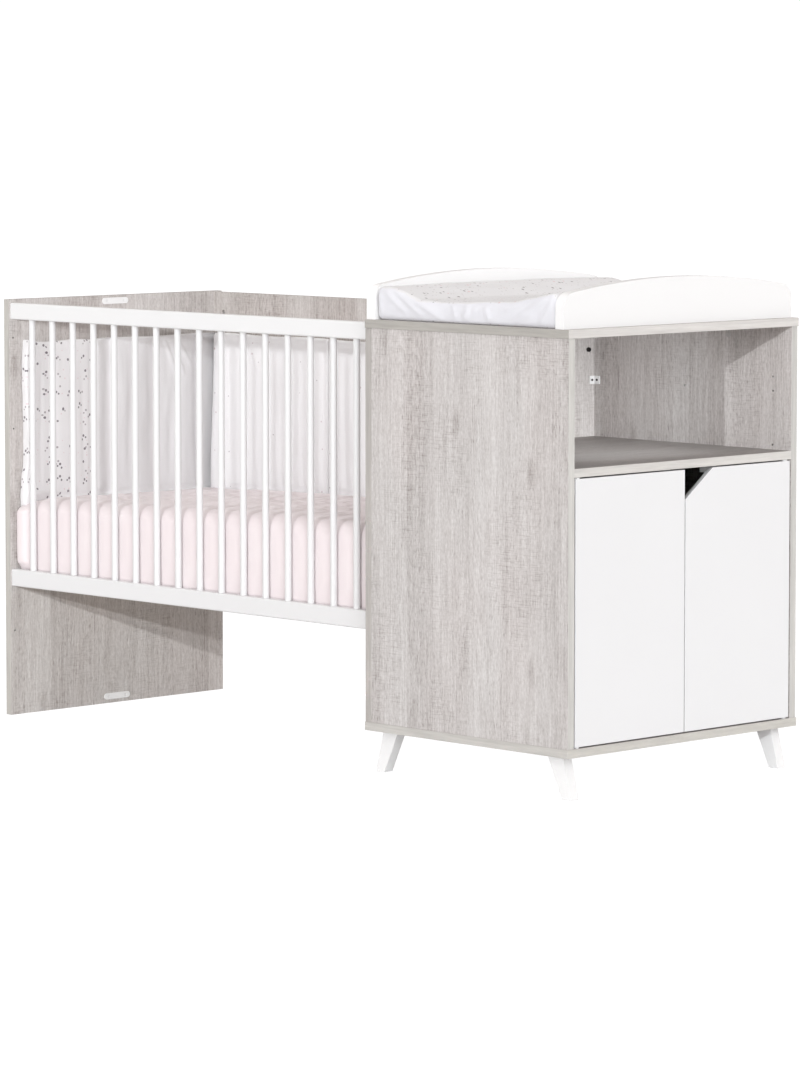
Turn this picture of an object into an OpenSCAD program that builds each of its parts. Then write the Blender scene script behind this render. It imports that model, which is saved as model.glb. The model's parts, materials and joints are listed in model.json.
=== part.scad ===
// Crib with attached changer.
// Millimetres, +Z up. +X runs along the length towards the changer,
// -Y is the barred front of the crib, z = 0 is the floor, and the
// origin is below the middle of the overall box.

/* [Boards] */
// Thickness of every carcass and panel board
board_t = 18; // [16:0.5:22]
// Thickness of the cupboard doors
door_t = 16; // [14:0.5:18]

/* [Crib] */
// Clear length between the end panel and the changer
crib_inner = 1217; // [1212:1:1260]
// Depth of the end panel, front edge to back edge
end_w = 664; // [655:1:690]
// Height of the end panel
end_h = 970; // [940:5:1000]
// Height of the top rail
top_rail_h = 38; // [32:1:50]
// Height of the lower rail
low_rail_h = 40; // [34:1:50]
// Underside of the lower rail above the floor
low_rail_z = 302; // [290:1:320]
// Thickness of both front rails
rail_t = 22; // [20:1:26]
// Set-back of the front rails from the end panel's front edge
rail_in = 4; // [2:1:8]
// Diameter of a front bar
bar_d = 15; // [14:0.5:18]
// Number of front bars
bar_n = 16; // [15:1:17]

/* [Soft parts] */
// Thickness of the mattress with its sheet
mattress_t = 176; // [120:1:180]
// Thickness of the bumper
bumper_t = 27; // [18:1:32]
// Top of the bumper above the floor
bumper_top = 870; // [820:1:890]

/* [Changer] */
// Length of the changer along the crib
ch_l = 600; // [580:5:640]
// Width of the changer across the crib
ch_w = 712; // [700:2:740]
// Clear height under the changer
foot_h = 90; // [80:1:110]
// Top of the niche shelf above the floor
niche_z = 685; // [660:1:720]
// Gap at a door's hinge side
door_gap = 4; // [4:0.5:5]
// Gap between the two doors
door_split = 3; // [2:0.5:4]
// Width of the finger cut-out
cut_w = 84; // [60:1:90]
// Height of the finger cut-out
cut_h = 62; // [45:1:70]

/* [Guards] */
// Thickness of a guard board
guard_t = 24; // [18:1:28]
// Height of a guard at its middle
guard_h = 99; // [90:1:110]
// Radius of the arch along a guard's top
guard_r = 2184; // [2000:1:2600]
// Radius of a guard's end corners
guard_c = 30; // [20:1:36]

/* [Hidden] */
$fn = 48;

oak   = [0.72, 0.70, 0.68];
white = [0.96, 0.96, 0.95];
steel = [0.62, 0.63, 0.65];
dark  = [0.12, 0.12, 0.13];
beech = [0.83, 0.70, 0.52];
pink  = [0.96, 0.86, 0.85];
cloth = [0.94, 0.93, 0.95];
t = board_t;

// key planes before the model is centred
xa = t;                        // inner face of the end panel
xb = t + crib_inner;           // rear face of the changer
xc = xb + t;                   // inner face of the changer's rear panel
xe = xb + ch_l;                // front edge of the top and base boards
xs = xe - 2;                   // front edge of the side panels
ym = end_w / 2;                // middle of the width
ya = ym - ch_w / 2;            // near edge of the changer's boards
yb = ym + ch_w / 2;            // far edge
ysn = ya + 2;                  // outer face of the near side panel
ysf = yb - 2;                  // outer face of the far side panel
yin = ysn + t;                 // inner face of the near side panel
yif = ysf - t;                 // inner face of the far side panel
zb0 = foot_h;                  // underside of the base board
zb1 = foot_h + t;
zt1 = end_h;                   // top of the changer's top board
zt0 = end_h - t;
zn0 = niche_z - t;             // underside of the niche shelf
rail_y0 = rail_in;
rail_y1 = rail_in + rail_t;
bar_y = (rail_y0 + rail_y1) / 2;
top_z1 = end_h - 8;
top_z0 = top_z1 - top_rail_h;
low_z1 = low_rail_z + low_rail_h;
back_y1 = end_w - 8;
back_y0 = back_y1 - t;
back_ym = (back_y0 + back_y1) / 2;
back_z1 = end_h - 2;
frame_h = 28;
slat_h = 8;
mat_z0 = low_rail_z + frame_h + slat_h;
mat_z1 = mat_z0 + mattress_t;
mat_l = 1200;
mat_w = 600;
mat_x0 = xa + 0.5;              // pushed against the end panel
mat_y0 = rail_y1 + 0.3;

// doors
dx1 = xs;                      // front face of the doors
dx0 = dx1 - door_t;
dxm = (dx0 + dx1) / 2;
dz0 = zb1 + 3;
dz1 = zn0 - 3;
dn0 = yin + door_gap;          // near door, hinge edge
dn1 = ym - door_split / 2;
df0 = ym + door_split / 2;
df1 = yif - door_gap;          // far door, hinge edge
hinge_in = 10;                 // hinge axis in from the door's outer edge
hyn = dn0 + hinge_in;
hyf = df1 - hinge_in;
pin_r = 3;
run_fit = 0.05;                // radial clearance of pin and fixing holes

// crib bolts: [y, z] at the end panel, then at the changer
bolts_end = [[bar_y, (top_z0 + top_z1) / 2], [bar_y, (low_rail_z + low_z1) / 2],
             [back_ym, 920], [back_ym, 400]];
bolts_chg = [[bar_y, (top_z0 + top_z1) / 2], [bar_y, (low_rail_z + low_z1) / 2],
             [back_ym, 879], [back_ym, 430]];
nut_in = 35;                   // barrel nut centre in from a rail's end

// knock-down fittings of the changer
cam_x = [xb + 95, xb + 417];
dow_x = [xb + 55, xb + 545];
cam_in = 23;
// spare fixing holes in the niche's side walls: x, z
spare_side = [[xb + 289, niche_z + 126], [xb + 545, niche_z + 157], [xb + 545, niche_z + 126], [xb + 545, niche_z + 10]];
pin_x = [xb + 70, xb + 500];   // shelf-pin columns in the cupboard
pin_z = 380;
scr_z = [180, 520, 880];
bx = [80, crib_inner - 80];
brk_y = [100, end_w - 140];
foot_w0 = 25;                  // foot width at the floor
foot_w1 = 44;                  // foot width at the base board
foot_ty = 24;                  // foot thickness across the changer
foot_in1 = 35;                 // outer edge inset at the base board
foot_in0 = 12;                 // outer edge inset at the floor
foot_yin = 22;                 // inset from the changer's side
foot_yn = ya + foot_yin;
foot_yf = yb - foot_yin - foot_ty;
guard_y0 = ya + 4;
guard_y1 = yb - 4;
grx = xb + 2;                  // rear guard, outer face
gfx = xe - 18 - guard_t;       // front guard, inner face

module place() translate([-xe / 2, -ym, 0]) children();
module box(x0, x1, y0, y1, z0, z1)
  translate([x0, y0, z0]) cube([x1 - x0, y1 - y0, z1 - z0]);
module cx(r, x0, x1, y, z, n = 48)
  translate([x0, y, z]) rotate([0, 90, 0]) cylinder(r = r, h = x1 - x0, $fn = n);
module cy(r, x, y0, y1, z, n = 48)
  translate([x, y0, z]) rotate([-90, 0, 0]) cylinder(r = r, h = y1 - y0, $fn = n);
module cz(r, x, y, z0, z1, n = 48)
  translate([x, y, z0]) cylinder(r = r, h = z1 - z0, $fn = n);
// rounded rectangle in the plane, corner at the origin
module rrect(w, h, r) {
  translate([r, 0]) square([w - 2 * r, h]);
  translate([0, r]) square([w, h - 2 * r]);
  for (p = [[r, r], [w - r, r], [r, h - r], [w - r, h - r]])
    translate(p) circle(r = r);
}
// bar along X with rounded long edges
module rbar_x(x0, x1, y0, y1, z0, z1, r)
  translate([x0, y0, z0]) multmatrix([[0, 0, 1, 0], [1, 0, 0, 0], [0, 1, 0, 0], [0, 0, 0, 1]])
    linear_extrude(height = x1 - x0) rrect(y1 - y0, z1 - z0, r);
// profile drawn in (Y, Z), carried along X
module along_x(x0, x1)
  translate([x0, 0, 0]) multmatrix([[0, 0, 1, 0], [1, 0, 0, 0], [0, 1, 0, 0], [0, 0, 0, 1]])
    linear_extrude(height = x1 - x0) children();
// profile drawn in (X, Z), carried along Y
module along_y(y0, y1)
  translate([0, y1, 0]) rotate([90, 0, 0]) linear_extrude(height = y1 - y0) children();
// oblong with round ends along Y, drawn in (Y, Z)
module oblong(w, h) {
  translate([-(w - h) / 2, -h / 2]) square([w - h, h]);
  translate([-(w - h) / 2, 0]) circle(r = h / 2);
  translate([(w - h) / 2, 0]) circle(r = h / 2);
}

ins_y = 324;                   // oblong inserts, middle in Y
ins_z = [end_h - 13, 16];
ins_w = 80;
ins_h = 15;
spare_z = [881, 669, 197];     // spare fixing holes in the end panel

module end_panel() color(oak) place() difference() {
  box(0, t, 0, end_w, 0, end_h);
  for (b = bolts_end) {
    cx(3.25, -1, t + 1, b[0], b[1]);
    cx(8, -1, 6, b[0], b[1]);
  }
  for (z = ins_z) translate([0, ins_y, z]) along_x(t - 10, t + 1) oblong(ins_w + 0.2, ins_h + 0.2);
  for (z = ins_z, s = [-1, 1]) cx(1.25, t - 15, t - 9, ins_y + s * 26, z);
  for (z = spare_z) cx(2.5, t - 12, t + 1, 12, z);
  for (y = brk_y, dy = [10, 30]) cx(1.5, t - 13, t + 1, y + dy, low_rail_z + 16);
}
module end_panel_inserts() color(white) place() for (z = ins_z) difference() {
  translate([0, ins_y, z]) along_x(t - 10, t + 1.2) oblong(ins_w, ins_h);
  for (s = [-1, 1]) {
    cx(1.85, t - 11, t + 2, ins_y + s * 26, z);
    cx(3.2, t - 1, t + 2, ins_y + s * 26, z);
  }
}
module insert_screws() color(steel) place() for (z = ins_z, s = [-1, 1]) {
  cx(1.2, t - 14.5, t - 1, ins_y + s * 26, z);
  cx(3, t - 1, t + 0.6, ins_y + s * 26, z);
}
module nut_holes(x, y0, y1, z) {
  cy(5.05, x, y0, y1, z);
}
module crib_back_panel() color(oak) place() difference() {
  box(xa, xb, back_y0, back_y1, low_rail_z, back_z1);
  for (i = [2, 3]) {
    cx(3.25, xa - 1, xa + nut_in + 8, back_ym, bolts_end[i][1]);
    nut_holes(xa + nut_in, back_y0 - 1, back_y1 - 4, bolts_end[i][1]);
    cx(3.25, xb - nut_in - 8, xb + 1, back_ym, bolts_chg[i][1]);
    nut_holes(xb - nut_in, back_y0 - 1, back_y1 - 4, bolts_chg[i][1]);
  }
}
bar_p = crib_inner / (bar_n + 0.81);
function bar_x(i) = xa + crib_inner / 2 + (i - (bar_n - 1) / 2) * bar_p;
tenon_r = 4.5;
tenon_l = 12;
module rail_bolts(z) {
  cx(3.25, xa - 1, xa + nut_in + 8, bar_y, z);
  nut_holes(xa + nut_in, bar_y - 7, rail_y1 + 1, z);
  cx(3.25, xb - nut_in - 8, xb + 1, bar_y, z);
  nut_holes(xb - nut_in, bar_y - 7, rail_y1 + 1, z);
}
module front_top_rail() color(white) place() difference() {
  rbar_x(xa, xb, rail_y0, rail_y1, top_z0, top_z1, 4);
  rail_bolts((top_z0 + top_z1) / 2);
  for (i = [0 : bar_n - 1]) cz(tenon_r + run_fit, bar_x(i), bar_y, top_z0 - 1, top_z0 + tenon_l + 0.5, 32);
}
module front_lower_rail() color(white) place() difference() {
  rbar_x(xa, xb, rail_y0, rail_y1, low_rail_z, low_z1, 4);
  rail_bolts((low_rail_z + low_z1) / 2);
  for (i = [0 : bar_n - 1]) cz(tenon_r + run_fit, bar_x(i), bar_y, low_z1 - tenon_l - 0.5, low_z1 + 1, 32);
}
module front_bars() color(white) place() for (i = [0 : bar_n - 1]) {
  cz(bar_d / 2, bar_x(i), bar_y, low_z1, top_z0, 40);
  cz(tenon_r, bar_x(i), bar_y, low_z1 - tenon_l, low_z1 + 1, 32);
  cz(tenon_r, bar_x(i), bar_y, top_z0 - 1, top_z0 + tenon_l, 32);
}
module crib_bolts() color(dark) place() {
  for (b = bolts_end) {
    cx(3, 4, xa + nut_in + 7, b[0], b[1]);
    difference() { cx(5, 2, 6, b[0], b[1]); cx(2.5, 1, 4.5, b[0], b[1], 6); }
  }
  for (b = bolts_chg) {
    cx(3, xb - nut_in - 7, xc + 1, b[0], b[1]);
    difference() { cx(5, xc, xc + 5, b[0], b[1]); cx(2.5, xc + 2.5, xc + 6, b[0], b[1], 6); }
  }
}
module nut(x, y, z, l, dy) difference() {
  cy(5, x, y + dy - l / 2, y + dy + l / 2, z);
  cx(3 + run_fit, x - 6, x + 6, y, z);
}
module barrel_nuts() color(steel) place() {
  for (i = [0 : 3]) {
    nut(xa + nut_in, bolts_end[i][0], bolts_end[i][1], i < 2 ? 16 : 12, i < 2 ? 2 : -2);
    nut(xb - nut_in, bolts_chg[i][0], bolts_chg[i][1], i < 2 ? 16 : 12, i < 2 ? 2 : -2);
  }
}
module bolt_caps() color(oak) place() for (b = bolts_end) cx(7.9, 0, 1.6, b[0], b[1]);

module base_side_rails() color(beech) place() for (y = [mat_y0 + 1, mat_y0 + mat_w - 21])
  box(xa + 6, xb - 6, y, y + 20, low_rail_z, low_rail_z + frame_h);
module base_end_rails() color(beech) place() for (x = [xa + 6, xb - 26])
  box(x, x + 20, mat_y0 + 21, mat_y0 + mat_w - 21, low_rail_z, low_rail_z + frame_h);
slat_n = 11;
module base_slats() color(beech) place() for (i = [0 : slat_n - 1])
  translate([xa + 44 + i * (crib_inner - 88 - 64) / (slat_n - 1), 0, 0])
    box(0, 64, mat_y0 + 1, mat_y0 + mat_w - 1, mat_z0 - slat_h, mat_z0);
module bracket_holes(x0, x1, y)
  for (dy = [10, 30]) cx(2.1, x0, x1, y + dy, low_rail_z + 16);
module base_brackets() color(steel) place() for (y = brk_y) {
  difference() {
    union() { box(xa, xa + 3, y, y + 40, low_rail_z - 3, low_rail_z + 26);
              box(xa, xa + 40, y, y + 40, low_rail_z - 3, low_rail_z); }
    bracket_holes(xa - 1, xa + 4, y);
  }
  difference() {
    union() { box(xb - 3, xb, y, y + 40, low_rail_z - 3, low_rail_z + 26);
              box(xb - 40, xb, y, y + 40, low_rail_z - 3, low_rail_z); }
    bracket_holes(xb - 4, xb + 1, y);
  }
}
module bracket_screws() color(steel) place() for (y = brk_y, dy = [10, 30]) {
  cx(1.45, xa - 12.5, xa + 3.5, y + dy, low_rail_z + 16);
  cx(3.5, xa + 3, xa + 5, y + dy, low_rail_z + 16);
  cx(1.45, xb - 3.5, xb + 12.5, y + dy, low_rail_z + 16);
  cx(3.5, xb - 5, xb - 3, y + dy, low_rail_z + 16);
}
module mattress() color(pink) place()
  rbar_x(mat_x0, mat_x0 + mat_l, mat_y0, mat_y0 + mat_w, mat_z0, mat_z1, 22);
module bumper_end() color(cloth) place() translate([0, 0, 0])
  along_x(xa + 0.4, xa + bumper_t) translate([mat_y0 + 2, mat_z1 + 0.3]) rrect(back_y0 - 0.4 - mat_y0 - 2, bumper_top - mat_z1 - 0.3, 10);
module bumper_back() color(cloth) place()
  along_y(back_y0 - bumper_t, back_y0 - 0.4) translate([xa + bumper_t + 0.4, mat_z1 + 0.3]) rrect(crib_inner - bumper_t - 0.8, bumper_top - mat_z1 - 0.3, 10);

// holes that both side panels share; s = 1 near, -1 far, yi = inner face
module side_holes(yi, s) {
  yc = yi - s * t / 2;
  for (x = cam_x) {
    for (z = [zt0 - cam_in, zb1 + cam_in]) cy(7.55, x, min(yi + s, yi - s * 13.5), max(yi + s, yi - s * 13.5), z);
    cz(3.5, x, yc, zt0 - cam_in, zt0 + 1, 32);
    cz(3.5, x, yc, zb1 - 1, zb1 + cam_in, 32);
    cy(3 + run_fit, x, min(yi + s, yi - s * 10.5), max(yi + s, yi - s * 10.5), zn0 + t / 2, 32);
  }
  for (x = dow_x) {
    cz(4.05, x, yc, zt0 - 18.5, zt0 + 1, 32);
    cz(4.05, x, yc, zb1 - 1, zb1 + 18.5, 32);
    cy(4.05, x, min(yi + s, yi - s * 10.5), max(yi + s, yi - s * 10.5), zn0 + t / 2, 32);
  }
  for (h = spare_side) cy(2.5, h[0], min(yi + s, yi - s * 12), max(yi + s, yi - s * 12), h[1], 32);
  for (x = pin_x) cy(2.5 + run_fit, x, min(yi + s, yi - s * 8.5), max(yi + s, yi - s * 8.5), pin_z, 32);
  for (z = scr_z) cx(2.1, xc - 1, xc + 32.5, yc, z, 32);
  cy(1.3, xc + 10, min(yi + s, yi - s * 9), max(yi + s, yi - s * 9), 811, 24);
}
module changer_side_near() color(oak) place() difference() {
  box(xc, xs, ysn, yin, zb1, zt0);
  side_holes(yin, 1);
}
module changer_side_far() color(oak) place() difference() {
  box(xc, xs, yif, ysf, zb1, zt0);
  side_holes(yif, -1);
}
module changer_rear_panel() color(oak) place() difference() {
  box(xb, xc, ysn, ysf, zb1, zt0);
  for (b = bolts_chg) cx(3.25, xb - 1, xc + 1, b[0], b[1]);
  for (y = [ysn + t / 2, ysf - t / 2], z = scr_z) {
    cx(2.6, xb - 1, xc + 1, y, z, 32);
    cx(4.6, xb - 1, xb + 3, y, z, 32);
  }
  for (y = brk_y, dy = [10, 30]) cx(1.5, xb - 1, xb + 13, y + dy, low_rail_z + 16, 24);
  for (y = [yin + 10, yif - 10]) cx(1.3, xc - 9, xc + 1, y, 811, 24);
}
module changer_top() color(oak) place() difference() {
  box(xb, xe, ya, yb, zt0, zt1);
  for (y = [yin - t / 2, yif + t / 2]) {
    for (x = cam_x) cz(3 + run_fit, x, y, zt0 - 1, zt0 + 10.5, 32);
    for (x = dow_x) cz(4.05, x, y, zt0 - 1, zt0 + 12.5, 32);
  }
  for (x = [grx + guard_t / 2, gfx + guard_t / 2], y = [ym - 250, ym, ym + 250]) {
    cz(2.3, x, y, zt0 - 1, zt1 + 1, 32);
    cz(4.6, x, y, zt0 - 1, zt0 + 3, 32);
  }
}
module changer_base() color(oak) place() difference() {
  box(xb, xe, ya, yb, zb0, zb1);
  for (y = [yin - t / 2, yif + t / 2]) {
    for (x = cam_x) cz(3 + run_fit, x, y, zb1 - 10.5, zb1 + 1, 32);
    for (x = dow_x) cz(4.05, x, y, zb1 - 12.5, zb1 + 1, 32);
  }
  for (y = [hyn, hyf]) cz(pin_r + run_fit, dxm, y, zb1 - 10.5, zb1 + 1, 32);
  for (x = foot_x, y = foot_y) cz(6.05, x, y, zb0 - 1, zb0 + 14, 32);
}
module niche_shelf() color(oak) place() difference() {
  box(xc, xs, yin, yif, zn0, niche_z);
  for (s = [1, -1]) {
    yi = s > 0 ? yin : yif;
    for (x = cam_x) {
      cz(7.55, x, yi + s * cam_in, zn0 - 1, zn0 + 13, 48);
      cy(3.5, x, min(yi - s, yi + s * cam_in), max(yi - s, yi + s * cam_in), zn0 + t / 2, 32);
    }
    for (x = dow_x) cy(4.05, x, min(yi - s, yi + s * 18.5), max(yi - s, yi + s * 18.5), zn0 + t / 2, 32);
  }
  for (y = [hyn, hyf]) cz(pin_r + run_fit, dxm, y, zn0 - 1, zn0 + 10.5, 32);
}
module cupboard_shelf() color(oak) place()
  box(xc + 9, dx0 - 27, yin + 1, yif - 1, pin_z + 2.6, pin_z + 2.6 + t);
module shelf_pins() color(steel) place() for (x = pin_x) {
  cy(2.5, x, yin - 8, yin + 9, pin_z, 32);
  cy(2.5, x, yif - 9, yif + 8, pin_z, 32);
}
module bush_hole(y) for (z = [[dz0 - 1, dz0 + 12.5], [dz1 - 12.5, dz1 + 1]])
  cz(5 + run_fit, dxm, y, z[0], z[1]);
module door_near() color(white) place() difference() {
  box(dx0, dx1, dn0, dn1, dz0, dz1);
  bush_hole(hyn);
}
module door_far() color(white) place() difference() {
  // the cut leans inwards, so that fingers find the door's back edge
  hull() {
    along_x(dx1 - 0.5, dx1) polygon([[df0, dz0], [df1, dz0], [df1, dz1], [df0 + cut_w, dz1], [df0, dz1 - cut_h]]);
    along_x(dx0, dx0 + 0.5) polygon([[df0, dz0], [df1, dz0], [df1, dz1], [df0 + cut_w + 8, dz1], [df0, dz1 - cut_h - 6]]);
  }
  bush_hole(hyf);
}
module bushes(y) {
  difference() {
    union() { cz(5, dxm, y, dz0, dz0 + 12); cz(7, dxm, y, zb1 + 0.4, dz0); }
    cz(pin_r + run_fit, dxm, y, zb1 - 1, dz0 + 11);
  }
  difference() {
    union() { cz(5, dxm, y, dz1 - 12, dz1); cz(7, dxm, y, dz1, zn0 - 0.4); }
    cz(pin_r + run_fit, dxm, y, dz1 - 11, zn0 + 1);
  }
}
module bushes_near() color(white) place() bushes(hyn);
module bushes_far() color(white) place() bushes(hyf);
module pivot_pins() color(steel) place() for (y = [hyn, hyf]) {
  cz(pin_r, dxm, y, zb1 - 10, dz0 + 10);
  cz(pin_r, dxm, y, dz1 - 10, zn0 + 10);
}
catch_y = [ym - 52, ym + 92];
module magnetic_catches() color(white) place() for (y = catch_y) difference() {
  box(dx0 - 27, dx0 - 2, y, y + 24, zn0 - 16, zn0);
  box(dx0 - 8, dx0 - 1, y + 4, y + 20, zn0 - 13, zn0 - 6);
}
module strike(y) box(dx0 - 1.6, dx0, y + 3, y + 21, dz1 - 14, dz1 - 2);
module strike_plate_near() color(steel) place() strike(catch_y[0]);
module strike_plate_far() color(steel) place() strike(catch_y[1]);

// arched guard: (Y, Z) profile, height above the top board
gz = zt1 + guard_h;
gc = [guard_y0 + guard_c, gz - guard_r + sqrt(pow(guard_r - guard_c, 2) - pow(ym - guard_y0 - guard_c, 2))];
gk = guard_r / (guard_r - guard_c);
gt = [ym + (gc[0] - ym) * gk, gz - guard_r + (gc[1] - gz + guard_r) * gk];
module guard_profile() {
  polygon([[guard_y0, zt1], [guard_y1, zt1], [guard_y1, gc[1]], [guard_y1 - guard_c, gc[1]],
           [2 * ym - gt[0], gt[1]], [gt[0], gt[1]], [guard_y0 + guard_c, gc[1]], [guard_y0, gc[1]]]);
  translate(gc) circle(r = guard_c, $fn = 64);
  translate([2 * ym - gc[0], gc[1]]) circle(r = guard_c, $fn = 64);
  intersection() {
    translate([ym, gz - guard_r]) circle(r = guard_r, $fn = 720);
    translate([gt[0], gt[1] - 1]) square([2 * (ym - gt[0]), 80]);
  }
}
module guard(x0) difference() {
  along_x(x0, x0 + guard_t) guard_profile();
  for (y = [ym - 250, ym, ym + 250]) cz(2 + run_fit, x0 + guard_t / 2, y, zt1 - 1, zt1 + 31, 32);
}
module guard_front() color(white) place() guard(gfx);
module guard_rear() color(white) place() guard(grx);
module guard_screws() color(steel) place()
  for (x = [grx + guard_t / 2, gfx + guard_t / 2], y = [ym - 250, ym, ym + 250]) {
    cz(2, x, y, zt0 + 1, zt1 + 30, 32);
    cz(4.5, x, y, zt0 + 0.4, zt0 + 2.8, 32);
  }
px0 = grx + guard_t + 0.6;
px1 = gfx - 0.6;
module changing_pad() color(cloth) place()
  along_y(guard_y0 + 3, guard_y1 - 3) polygon([[px0, zt1 + 0.3], [px1, zt1 + 0.3],
    [px1, zt1 + 68], [px1 - 14, zt1 + 74], [px1 - 34, zt1 + 70], [px1 - 100, zt1 + 52],
    [px0 + 120, zt1 + 50], [px0 + 36, zt1 + 66], [px0 + 14, zt1 + 70], [px0, zt1 + 64]]);

// feet, splayed along X; d = 1 front, -1 rear
module foot_profile(x, d)
  polygon([[x - d * (foot_in1 + foot_w1), zb0], [x - d * foot_in1, zb0],
           [x - d * foot_in0, 0], [x - d * (foot_in0 + foot_w0), 0]]);
foot_x = [xb + foot_in1 + foot_w1 / 2 + 2, xe - foot_in1 - foot_w1 / 2 - 2];
foot_y = [foot_yn + foot_ty / 2, foot_yf + foot_ty / 2];
module foot(x, d, y) difference() {
  along_y(y, y + foot_ty) foot_profile(x, d);
  cz(4.05, d > 0 ? foot_x[1] : foot_x[0], y + foot_ty / 2, zb0 - 34, zb0 + 1, 32);
}
module foot_front_near() color(white) place() foot(xe, 1, foot_yn);
module foot_front_far() color(white) place() foot(xe, 1, foot_yf);
module foot_rear_near() color(white) place() foot(xb, -1, foot_yn);
module foot_rear_far() color(white) place() foot(xb, -1, foot_yf);
module foot_bolts() color(steel) place() for (x = foot_x, y = foot_y) cz(4, x, y, zb0 - 33, zb0 + 13, 32);
module insert_nuts() color(steel) place() for (x = foot_x, y = foot_y) difference() {
  cz(6, x, y, zb0 + 0.5, zb0 + 13.5, 32);
  cz(4.05, x, y, zb0 - 1, zb0 + 15, 32);
}

module cam_slot_z(x, y, z, s) cz(3.6, x, y, min(z, z + s * 9), max(z, z + s * 9), 32);
module cam_discs() color(steel) place() {
  for (s = [1, -1], x = cam_x) {
    yi = s > 0 ? yin : yif;
    for (k = [1, -1]) {
      z = k > 0 ? zt0 - cam_in : zb1 + cam_in;
      difference() {
        cy(7.5, x, min(yi, yi - s * 13), max(yi, yi - s * 13), z);
        cz(3.6, x, yi - s * t / 2, k > 0 ? z - 1 : z - 9, k > 0 ? z + 9 : z + 1, 32);
        box(x - 5, x + 5, min(yi + s, yi - s * 1.2), max(yi + s, yi - s * 1.2), z - 0.8, z + 0.8);
      }
    }
    difference() {
      cz(7.5, x, yi + s * cam_in, zn0, zn0 + 12.8, 48);
      cy(3.6, x, min(yi + s * (cam_in + 1), yi), max(yi + s * (cam_in + 1), yi), zn0 + t / 2, 32);
    }
  }
}
module cam_bolts() color(steel) place() for (s = [1, -1], x = cam_x) {
  yi = s > 0 ? yin : yif;
  cz(3, x, yi - s * t / 2, zt0 - cam_in + 0.4, zt0 + 10, 32);
  cz(3, x, yi - s * t / 2, zb1 - 10, zb1 + cam_in - 0.4, 32);
  cy(3, x, min(yi - s * 10, yi + s * (cam_in - 0.4)), max(yi - s * 10, yi + s * (cam_in - 0.4)), zn0 + t / 2, 32);
}
module dowels() color(beech) place() for (s = [1, -1], x = dow_x) {
  yi = s > 0 ? yin : yif;
  cz(4, x, yi - s * t / 2, zt0 - 18, zt0 + 12, 32);
  cz(4, x, yi - s * t / 2, zb1 - 12, zb1 + 18, 32);
  cy(4, x, min(yi - s * 10, yi + s * 18), max(yi - s * 10, yi + s * 18), zn0 + t / 2, 32);
}
module panel_screws() color(steel) place()
  for (y = [ysn + t / 2, ysf - t / 2], z = scr_z) {
    cx(2, xb + 2, xc + 32, y, z, 32);
    cx(4.5, xb + 0.2, xb + 2.8, y, z, 32);
  }
module corner_brackets() color(white) place() for (s = [1, -1]) {
  yi = s > 0 ? yin : yif;
  difference() {
    union() {
      box(xc, xc + 2.4, min(yi, yi + s * 17), max(yi, yi + s * 17), 802, 820);
      box(xc, xc + 17, min(yi, yi + s * 2.4), max(yi, yi + s * 2.4), 802, 820);
    }
    cx(1.8, xc - 1, xc + 4, yi + s * 10, 811, 24);
    cy(1.8, xc + 10, min(yi - s, yi + s * 4), max(yi - s, yi + s * 4), 811, 24);
  }
}
module bracket_rivets() color(steel) place() for (s = [1, -1]) {
  yi = s > 0 ? yin : yif;
  cx(1.2, xc - 8, xc + 2.9, yi + s * 10, 811, 24);
  cx(2.6, xc + 2.4, xc + 3.6, yi + s * 10, 811, 24);
  cy(1.2, xc + 10, min(yi - s * 8, yi + s * 2.9), max(yi - s * 8, yi + s * 2.9), 811, 24);
  cy(2.6, xc + 10, min(yi + s * 2.4, yi + s * 3.6), max(yi + s * 2.4, yi + s * 3.6), 811, 24);
}

end_panel();
end_panel_inserts();
insert_screws();
crib_back_panel();
front_top_rail();
front_lower_rail();
front_bars();
crib_bolts();
barrel_nuts();
bolt_caps();
base_side_rails();
base_end_rails();
base_slats();
base_brackets();
bracket_screws();
mattress();
bumper_end();
bumper_back();
changer_side_near();
changer_side_far();
changer_rear_panel();
changer_top();
changer_base();
niche_shelf();
cupboard_shelf();
shelf_pins();
door_near();
door_far();
bushes_near();
bushes_far();
pivot_pins();
magnetic_catches();
strike_plate_near();
strike_plate_far();
guard_front();
guard_rear();
guard_screws();
changing_pad();
foot_front_near();
foot_front_far();
foot_rear_near();
foot_rear_far();
foot_bolts();
insert_nuts();
cam_discs();
cam_bolts();
dowels();
panel_screws();
corner_brackets();
bracket_rivets();
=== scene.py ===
"""Crib with attached changer: finishes, soft goods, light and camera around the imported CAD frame."""
import json
import math

import bpy
import numpy as np
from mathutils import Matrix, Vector

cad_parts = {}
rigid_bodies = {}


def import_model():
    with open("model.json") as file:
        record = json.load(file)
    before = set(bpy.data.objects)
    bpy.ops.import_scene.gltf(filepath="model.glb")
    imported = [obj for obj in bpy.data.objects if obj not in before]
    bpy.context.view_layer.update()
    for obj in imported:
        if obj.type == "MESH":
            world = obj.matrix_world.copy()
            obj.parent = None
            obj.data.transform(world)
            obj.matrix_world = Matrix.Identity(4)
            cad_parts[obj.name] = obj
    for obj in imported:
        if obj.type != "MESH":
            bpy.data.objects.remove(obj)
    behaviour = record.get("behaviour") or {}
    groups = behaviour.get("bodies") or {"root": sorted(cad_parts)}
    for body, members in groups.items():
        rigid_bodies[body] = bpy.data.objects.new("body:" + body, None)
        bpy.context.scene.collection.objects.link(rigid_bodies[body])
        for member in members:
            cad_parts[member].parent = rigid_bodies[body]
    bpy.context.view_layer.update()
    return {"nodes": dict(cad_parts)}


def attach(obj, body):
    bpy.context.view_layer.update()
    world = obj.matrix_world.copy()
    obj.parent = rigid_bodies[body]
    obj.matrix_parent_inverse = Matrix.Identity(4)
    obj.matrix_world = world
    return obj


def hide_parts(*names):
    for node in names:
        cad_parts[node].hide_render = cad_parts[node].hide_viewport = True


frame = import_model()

NODES = frame["nodes"]
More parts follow.
